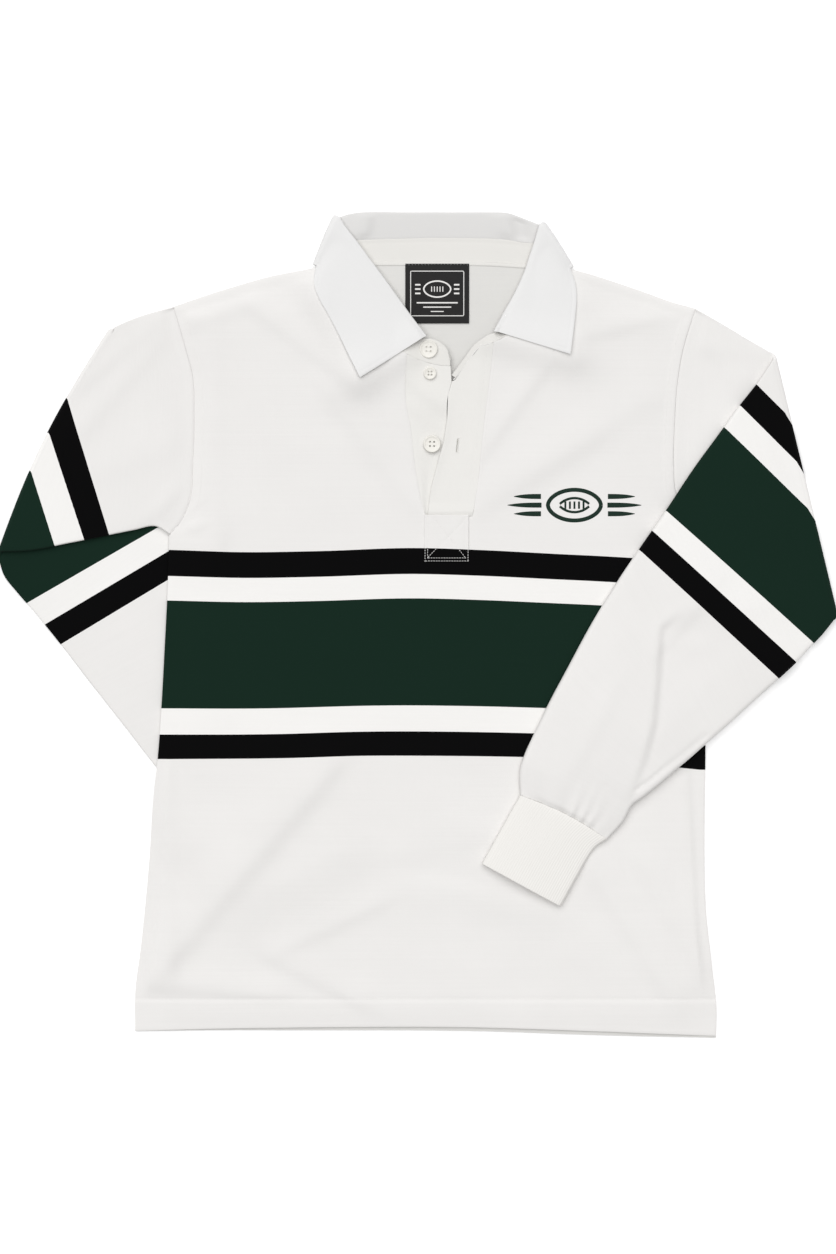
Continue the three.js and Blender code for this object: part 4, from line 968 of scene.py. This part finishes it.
def collar_leaf():
    """The leaf: up from the seam with the stand, over the rolled edge and down to its outer edge."""
    rows, angle, out = collar_sections(COLLAR_FRONT_LEFT, COLLAR_BACK, COLLAR_FRONT_RIGHT, (50, 80, 46))
    q, r, e = rows[:, None, 2:4], rows[:, None, 4:6], rows[:, None, 6:8]
    dirs = (r - e) / np.linalg.norm(r - e, axis=-1, keepdims=True)
    r = r - dirs * (COLLAR_ROLL + COLLAR_CLOTH / 2)
    back_stand, back_leaf = 3.5, COLLAR_CLOTH / 2
    t = np.linspace(0, 1, 11)[None, :-1, None]
    inner = mix(q, r, t)
    soft = COLLAR_CREASE_SCALE * ease(3 * t[..., 0]) * creases(inner[..., 0], inner[..., 1], COLLAR_CREASES)
    soft = soft + 1.4 * np.sin(np.pi * t[..., 0] / 2)
    first = turned(inner, FRONT_ROLL - 0.2 + 0.2 * t[..., 0], back_stand + soft, angle, out)
    a = np.radians(np.linspace(0, 180, 15))[None, :, None]
    lift = 1.4 * (1 + np.cos(a[..., 0])) / 2
    roll = turned(r + dirs * COLLAR_ROLL * np.sin(a), FRONT_ROLL + COLLAR_ROLL * (1 - np.cos(a[..., 0])),
                  back_stand - COLLAR_ROLL * (1 - np.cos(a[..., 0])) + lift, angle, out)
    tips = np.minimum(*(np.hypot(e[..., 0] - x, e[..., 1] - y) for x, y in (LEAF_ENDS[0][1], LEAF_ENDS[1][1])))
    rest = front_under(e[..., 0], e[..., 1]) + JERSEY + 0.35 + COLLAR_CLOTH / 2 + TIP_LIFT * bell(tips, 45)
    t = np.concatenate([np.linspace(0, 0.86, 22), np.linspace(0.86, 1, 14)[1:]])[None, 1:, None]
    outer = mix(r, e, t)
    front_z = mix(FRONT_ROLL + 2 * COLLAR_ROLL, rest, t[..., 0] ** 1.3) + 0.9 * np.sin(np.pi * t[..., 0]) ** 2
    ox, oy = outer[..., 0], outer[..., 1]
    edge = np.minimum.reduce([
        away(line, ox, oy) for line in (COLLAR_FRONT_LEFT[:, 6:8], COLLAR_FRONT_RIGHT[:, 6:8], *LEAF_ENDS)])
    front_z += ripple(ox, oy, 11, 55, 0.1) * ease(edge / 12)
    front_z -= 0.28 * bell(edge - 3.6, 0.8) + 0.35 * bell(edge, 0.9)
    front_z = np.maximum(front_z, front_under(ox, oy) + JERSEY + 0.3 + COLLAR_CLOTH / 2)
    last = turned(outer, front_z, back_leaf + 0 * t[..., 0], angle, out)
    points = np.concatenate([first, roll, last], axis=1)
    # Share of painted shade on each row: full on the under collar, fading round the roll, none on the outer leaf
    inside = np.concatenate([np.ones(first.shape[1]), ease(1.2 - np.linspace(0, 1, roll.shape[1]) * 1.6),
                             np.zeros(last.shape[1])])
    inside = np.repeat(inside[None], len(points), axis=0)
    return cloth("collar_leaf_cloth", points, collar_cloth, COLLAR_CLOTH, middle=True,
                 weave=sheet_weave(points, len(points) // 2, 12), bands=inside, rim=0.65)


def collar_stand():
    """The band between the neck seam and the leaf, from its button end to its buttonhole end."""
    left = np.concatenate([BUTTON_END, COLLAR_FRONT_LEFT[:, :4]])
    right = np.concatenate([COLLAR_FRONT_RIGHT[:, :4], HOLE_END])
    rows, angle, out = collar_sections(left, COLLAR_BACK[:, :4], right, (64, 80, 64))
    n, q = rows[:, None, :2], rows[:, None, 2:4]
    q = n + (q - n) * (1 - 0.1 / np.linalg.norm(q - n, axis=-1, keepdims=True))
    low = front_under(n[..., 0], n[..., 1]) + JERSEY / 2
    t = np.linspace(0, 1, 15)[None, :, None]
    dip = 0.18 * bell(t[..., 0] - 0.84, 0.05) - 0.25 * bell(t[..., 0] - 0.97, 0.05)
    points = turned(mix(n, q, t), mix(low, FRONT_ROLL - 0.2, t[..., 0]) - dip,
                    mix(NECK_RISE + JERSEY / 2, 3.5, t[..., 0]) - dip, angle, out)
    return cloth("collar_stand_cloth", points, stand_cloth, COLLAR_CLOTH, middle=True,
                 weave=sheet_weave(points, 90, 4))


def neck_tape():
    """A narrow tape that covers the seam of neck and stand."""
    x, v = np.meshgrid(np.linspace(-62, 112, 100), np.linspace(0, 1, 8))
    seam = curve(x, COLLAR_BACK[:, 0], COLLAR_BACK[:, 1])
    y = seam - 3.4 + 4.0 * v
    z = back_under(x, y) + JERSEY + 0.55 + 0.25 * np.sin(np.pi * v)
    return cloth("neck_tape", plate(x, y, z), stand_cloth, 0.5)


# Placket
def strip(name, left, right, top, height, rows=90, columns=24):
    """One strip of the placket, between its two long edges and its head."""
    v = np.linspace(0, 1, rows)
    u = 0.5 - 0.5 * np.cos(np.pi * np.linspace(0, 1, columns))
    lines = [on_line(left, v, False)[:, None], on_line(right, v, False)[:, None]]
    head = on_line(top, u, False)[None]
    u, v = u[None, :, None], v[:, None, None]
    plan = mix(*lines, u) + v * (head - mix(lines[0][-1:], lines[1][-1:], u))
    x, y = plan[..., 0], plan[..., 1]
    z = height(x, y) + JERSEY
    return cloth(name, plate(x, y, z), placket_jersey, JERSEY)


def foot_roll(y):
    """The strips end in a fold above the stitched box."""
    return 0.9 * ease((115 - y) / 12) - 1.2 * ease((103.2 - y) / 2.6)


def upper_height(x, y):
    free = np.interp(y, UPPER_FREE_EDGE[:, 1], UPPER_FREE_EDGE[:, 0])
    seam = np.interp(y, SLOT_RIGHT[:, 1], SLOT_RIGHT[:, 0])
    roll = 0.8 * bell(x - free, 4) * ease((y - 112) / 20) * ease((222 - y) / 20)
    groove = 0.15 * bell(x - seam + 0.6, 0.9) + 0.25 * bell(x - seam + 5.6, 0.9)
    return front_under(x, y) + roll - groove + foot_roll(y) + creases(x, y, STRIP_CREASES)


def lower_height(x, y):
    seam = np.interp(y, SLOT_LEFT[:, 1], SLOT_LEFT[:, 0])
    return under_height(x, y) - 0.15 * bell(x - seam - 0.6, 0.9) + foot_roll(y) \
        + creases(x, y, UNDER_STRIP_CREASES)


def upper_top(x, y):
    return upper_height(x, y) + JERSEY


def slot_line(slot, top, nudge):
    """An edge of the front's slot, along which a strip is sewn."""
    y = np.linspace(SLOT_FOOT, top, 70)
    return plate(curve(y, slot[:, 1], slot[:, 0]) + nudge, y)


def placket():
    low = slot_line(SLOT_LEFT, 249.4, 0.03)
    top = np.concatenate([low[-1:], UNDER_TOP[1:] + (0, 0.6)])
    under = strip("placket_under_cloth", low, UNDER_FREE_EDGE, top, lower_height)
    high = slot_line(SLOT_RIGHT, 259.7, -0.03)
    top = np.concatenate([UPPER_TOP[:1], UPPER_TOP[1:-1] + (-0.45, 0.55), high[-1:]])
    upper = strip("placket_upper_cloth", UPPER_FREE_EDGE, high, top, upper_height)
    return under, upper


BOX = (6.6, 48.0, 58.0, 101.5)
BOX_CROSS = (((9.8, 61.8), (44.8, 98.5)), ((44.8, 61.8), (16, 98.5)))


def box_top(x, y):
    inner = np.minimum(np.minimum(x - BOX[0], BOX[1] - x), y - BOX[2])
    z = front_top(x, y) + 1.0 - 0.25 * bell(inner - 3.2, 0.9) + 0.25 * bell(inner - 8, 5)
    for ends in BOX_CROSS:
        z -= 0.22 * bell(away(ends, x, y), 1.0)
    return z


def placket_box():
    """The ends of both strips, turned in and stitched down to the front."""
    x, y = np.meshgrid(np.linspace(BOX[0], BOX[1], 44), np.linspace(BOX[2], BOX[3], 46))
    return cloth("placket_box", plate(x, y, box_top(x, y)), striped_jersey, 0.9, bands=body_bands(x, y),
                 rim=0.4)


def neck_label():
    x, y = np.meshgrid(np.linspace(LABEL["left"], LABEL["right"], 40), np.linspace(LABEL["bottom"], LABEL["top"], 40))
    return cloth("neck_label_cloth", plate(x, y, label_top(x, y)), label_cloth, LABEL_CLOTH, rim=0.15)


def label_top(x, y):
    return back_under(x, y) + JERSEY + 0.3 + LABEL_CLOTH + 0.4 * ease((302 - y) / 26)


def settle(piece):
    """Works a piece's modifiers into its mesh."""
    made = bpy.data.meshes.new_from_object(piece.evaluated_get(bpy.context.evaluated_depsgraph_get()))
    piece.modifiers.clear()
    piece.data = made


def button(name, x, y, radius):
    """A turned button with a raised rim, a dished middle and four holes."""
    t = 2.4
    profile = [(0, 0), (radius - 0.9, 0), (radius - 0.25, 0.25), (radius, 0.9), (radius, t - 0.8),
               (radius - 0.2, t - 0.25), (radius - 0.7, t), (radius - 1.3, t - 0.1), (radius - 1.9, t - 0.55),
               (radius - 2.6, t - 0.75), (0, t - 0.8)]
    bm = bmesh.new()
    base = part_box(name)[0][2] * 1000 + 0.3
    line = [bm.verts.new(Vector((px, 0, pz)) / 1000) for px, pz in profile]
    edges = [bm.edges.new(pair) for pair in zip(line, line[1:])]
    bmesh.ops.spin(bm, geom=line + edges, cent=(0, 0, 0), axis=(0, 0, 1), angle=2 * math.pi, steps=56, use_merge=True)
    bmesh.ops.remove_doubles(bm, verts=bm.verts, dist=1e-6)
    bmesh.ops.recalc_face_normals(bm, faces=bm.faces)
    bmesh.ops.translate(bm, verts=bm.verts, vec=Vector((x, y, base)) / 1000)
    piece = link(name + "_resin", bm, button_resin)
    drills = bmesh.new()
    holes = []
    for turn in (45, 135, 225, 315):
        a = math.radians(turn)
        reach = radius * 0.34
        holes.append(Vector((x + reach * math.cos(a), y + reach * math.sin(a), base + t / 2)) / 1000)
        bmesh.ops.create_cone(drills, cap_ends=True, segments=16, radius1=0.0009, radius2=0.0009, depth=0.006,
                              matrix=Matrix.Translation(holes[-1]))
    mesh = bpy.data.meshes.new("drills")
    drills.to_mesh(mesh)
    drills.free()
    tool = bpy.data.objects.new("drills", mesh)
    scene.collection.objects.link(tool)
    cut = piece.modifiers.new("holes", "BOOLEAN")
    cut.operation, cut.solver, cut.object = "DIFFERENCE", "EXACT", tool
    settle(piece)
    bpy.data.objects.remove(tool)
    piece.data.shade_smooth()
    piece.data.set_sharp_from_angle(angle=math.radians(32))
    thread = bmesh.new()
    for a, b in ((0, 1), (2, 3)):
        stitch(thread, (holes[a] + holes[b]) / 2 * 1000 + Vector((0, 0, t / 2 - 0.75)), (1, 0),
               radius * 0.48 - 1.4, 0.3)
    yarn = link(name + "_thread", thread, white_thread)
    return piece, yarn


# Sewing and embroidery
def stitch(bm, at, run, length, radius):
    """One stitch: a small bead of thread, laid along the way it runs. Sizes in mm."""
    turn = Matrix.Rotation(math.atan2(run[1], run[0]), 4, "Z")
    size = Matrix.Diagonal((length / 2, radius, radius, 1))
    bmesh.ops.create_icosphere(bm, subdivisions=1, radius=0.001,
                               matrix=Matrix.Translation(Vector(at) / 1000) @ turn @ size)


def sew(bm, path, height, pitch=3.0, length=2.5, radius=0.2):
    """A row of stitches along a path on the cloth."""
    path = np.asarray(path, float)
    run = run_of(path)
    marks = np.arange(pitch / 2, run[-1], pitch)
    at = np.stack([np.interp(marks, run, path[:, k]) for k in range(2)], axis=-1)
    way = np.gradient(at, axis=0)
    z = height(at[:, 0], at[:, 1])
    for (x, y), d, up in zip(at, way, z):
        stitch(bm, (x, y, up + radius * 0.25), d, length, radius)


def beside(line, by, count=120):
    """A line that runs at one side of another, on the left of its run."""
    path = on_line(line, np.linspace(0, 1, count))
    way = np.gradient(path, axis=0)
    way /= np.linalg.norm(way, axis=-1, keepdims=True)
    return path + by * plate(-way[:, 1], way[:, 0])


NECK_SEAM = [(33.6, 226.4), (35.6, 228.3), (41.6, 236.2), (47.6, 244.2), (58.4, 256.5), (69.2, 259.9)]


def topstitching():
    bm = bmesh.new()
    hem = np.linspace(-257, 273, 200)
    sew(bm, plate(hem, np.full(200, HEM_LINE)), front_top)
    left = beside(ARMHOLE_LEFT, -8.0)[6:-3]
    right = beside(ARMHOLE_RIGHT, 8.0)[6:-3]
    sew(bm, left, front_top, radius=0.16)
    sew(bm, right, front_top, radius=0.16)
    x = np.linspace(-60, 110, 90)
    seam = curve(x, COLLAR_BACK[:, 0], COLLAR_BACK[:, 1])
    for by, z in ((-2.6, 0.75), (0.1, 0.75)):
        sew(bm, plate(x, seam + by), lambda px, py, z=z: back_under(px, py) + JERSEY + z, radius=0.16)
    sew(bm, beside(SLOT_RIGHT[1:], -2.6), front_top, radius=0.16)
    sew(bm, beside(SLOT_RIGHT[1:], 5.0), upper_top, radius=0.16)
    sew(bm, beside(SLOT_LEFT[1:], 1.6), front_top, radius=0.16)
    l, r, f, h = BOX
    rows = [((l + 3.2, h), (l + 3.2, f + 3.2)), ((l + 0.8, 72), (l + 0.8, f + 0.8)),
            ((r - 0.8, h), (r - 0.8, f + 0.8)),
            ((l + 3.2, f + 3.6), (r - 1.6, f + 3.6)), ((l + 0.8, f + 0.8), (r - 0.8, f + 0.8)), *BOX_CROSS]
    for row in rows:
        sew(bm, on_line(row, np.linspace(0, 1, 20), False), box_top, pitch=2.4, length=1.9, radius=0.3)
    bound = beside([(37.9, 171.5), (36.5, 160.0)], 0, 30)
    for by in (-0.9, 0.9):
        sew(bm, bound + (by, 0), upper_top, pitch=0.55, length=0.6, radius=0.45)
    # A dark strip along the buttonhole's slit: painted shadow where the slit opens
    slit = [(mix(36.4, 37.9, s), mix(159.6, 172, s)) for s in np.linspace(0, 1, 12)]
    ribbon(bm, on_line(NECK_SEAM, np.linspace(0, 1, 60)), 1.1, upper_top, 0.25, 3)
    hole = bmesh.new()
    ribbon(hole, slit, 0.8, upper_top, 0.2, 2)
    link("buttonhole_slit_shadow", hole, painted_slit_shadow)
    for y in (172.6, 159.2):
        sew(bm, [(35.6 + (y - 159) * 0.1, y), (38.6 + (y - 159) * 0.1, y)],
            upper_top, pitch=0.6, length=0.8, radius=0.4)
    return link("topstitching", bm, white_thread)


def ribbon(bm, path, widths, height, dome=0.45, across=6):
    """A satin-stitched bar of thread along a path, domed across."""
    path = np.asarray(path, float)
    way = np.gradient(path, axis=0)
    way /= np.linalg.norm(way, axis=-1, keepdims=True)
    side = plate(-way[:, 1], way[:, 0])
    made = bmesh.ops.create_grid(bm, x_segments=len(path) - 1, y_segments=across, size=0.5)["verts"]
    widths = np.broadcast_to(widths, len(path))
    for v in made:
        i, s = round((v.co.x + 0.5) * (len(path) - 1)), v.co.y * 2
        x, y = path[i] + side[i] * s * widths[i] / 2
        z = float(height(x, y)) - 0.1 + dome * (1 - s ** 2) ** 0.6
        v.co = Vector((x, y, z)) / 1000
    return made


def oval(cx, cy, rx, ry, start=0, stop=360, count=60, power=1.0):
    a = np.radians(np.linspace(start, stop, count))
    return plate(cx + rx * np.cos(a), cy + ry * np.sign(np.sin(a)) * np.abs(np.sin(a)) ** power)


def chest_motif():
    """A plain rugby ball between bars, worked in green satin stitch."""
    bm = bmesh.new()
    cx, cy = 145.7, 110.5
    ribbon(bm, oval(cx, cy, 24.5, 14.2, count=90, power=1.12), 4.2, front_top)
    for side in (1, -1):
        ribbon(bm, oval(cx, cy - side * 19, 22, 25.5, 90 - side * 38 + (180 if side < 0 else 0),
                        90 + side * 38 + (180 if side < 0 else 0), 30), 2.6, front_top)
        for row, (start, stop) in enumerate(((31, 56), (30.5, 62), (31, 56))):
            y = cy + 8 * (1 - row)
            x = cx + side * np.linspace(start, stop, 24)
            taper = 4.8 * (1 - np.linspace(0, 1, 24) ** 3) + 0.5
            ribbon(bm, plate(x, np.full(24, y)), taper, front_top)
    for k in range(-2, 3):
        ribbon(bm, [(cx + k * 4.2, cy + s) for s in np.linspace(-3.4, 3.4, 8)], 2.1, front_top)
    return link("chest_motif", bm, green_thread)


def label_motif():
    """A plain woven frame with a ball and bars."""
    bm = bmesh.new()
    l, r, t, b = LABEL["left"] + 5, LABEL["right"] - 5, LABEL["top"] - 7, LABEL["bottom"] + 7
    frame_line = on_line([(l, b), (r, b), (r, t), (l, t), (l, b)], np.linspace(0, 1, 120), False)
    ribbon(bm, frame_line, 1.1, label_top, 0.22, 3)
    cx, cy = (l + r) / 2, (t + b) / 2 + 4
    ribbon(bm, oval(cx, cy, 12.5, 7.4, count=60, power=1.12), 2.0, label_top, 0.22, 3)
    for k in range(-2, 3):
        ribbon(bm, [(cx + k * 2.6, cy + s) for s in np.linspace(-2.4, 2.4, 6)], 1.3, label_top, 0.22, 3)
    for side in (1, -1):
        for row in (4, 0, -4):
            ribbon(bm, [(cx + side * x, cy + row) for x in np.linspace(15.5, 20.5, 6)], 2.2, label_top, 0.22, 3)
    for row, half in enumerate((19, 13, 6)):
        y = b + 12 - row * 4
        ribbon(bm, [(x, y) for x in np.linspace(cx - half, cx + half, 24)], 1.9 - 0.3 * row, label_top, 0.22, 3)
    return link("label_weave", bm, white_thread)


front = body_front()
back = body_back()
over = sleeve("sleeve_over_cloth", ARM_OVER, right_edge, ARMHOLE_RIGHT, over_bands)
under = sleeve("sleeve_under_cloth", ARM_UNDER, left_edge, ARMHOLE_LEFT, under_bands)
cuff_over = cuff("cuff_over_rib", ARM_OVER)
cuff_under = cuff("cuff_under_rib", ARM_UNDER)
leaf = collar_leaf()
stand = collar_stand()
tape = neck_tape()
strip_under, strip_upper = placket()
box = placket_box()
label = neck_label()
buttons = {name: button(name, *where) for name, where in BUTTONS.items()}
stitches = topstitching()
motif = chest_motif()
woven = label_motif()

for piece, node in (
        (front, "body_front"), (back, "body_back"), (over, "sleeve_over"), (under, "sleeve_under"),
        (cuff_over, "cuff_over"), (cuff_under, "cuff_under"), (leaf, "collar_leaf"), (stand, "collar_stand"),
        (strip_under, "placket_under"), (strip_upper, "placket_upper"), (label, "neck_label")):
    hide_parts(node)
for name, (piece, yarn) in buttons.items():
    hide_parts(name)


# Floor and light
def studio():
    bm = bmesh.new()
    bmesh.ops.create_grid(bm, x_segments=1, y_segments=1, size=20)
    bmesh.ops.translate(bm, verts=bm.verts, vec=(0, 0, -0.0002))
    mesh = bpy.data.meshes.new("floor")
    bm.to_mesh(mesh)
    bm.free()
    finish, tree, shader = blank("floor_paper", Roughness=0.9, Base_Color=(0.93, 0.93, 0.93, 1),
                                 Emission_Color=(1, 1, 1, 1), Emission_Strength=0.16)
    mesh.materials.append(finish)
    floor = bpy.data.objects.new("floor", mesh)
    scene.collection.objects.link(floor)
    lamp = bpy.data.lights.new("overhead", "SUN")
    lamp.energy, lamp.angle = 2.47, math.radians(75)
    overhead = bpy.data.objects.new("overhead", lamp)
    overhead.rotation_euler = Vector((0.12, -0.34, -1.0)).to_track_quat("-Z", "Y").to_euler()
    scene.collection.objects.link(overhead)
    world = bpy.data.worlds.new("studio")
    world.use_nodes = True
    world.node_tree.nodes["Background"].inputs[0].default_value = (1, 1, 1, 1)
    world.node_tree.nodes["Background"].inputs[1].default_value = 0.35
    scene.world = world
    scene.view_settings.view_transform = "Standard"


studio()
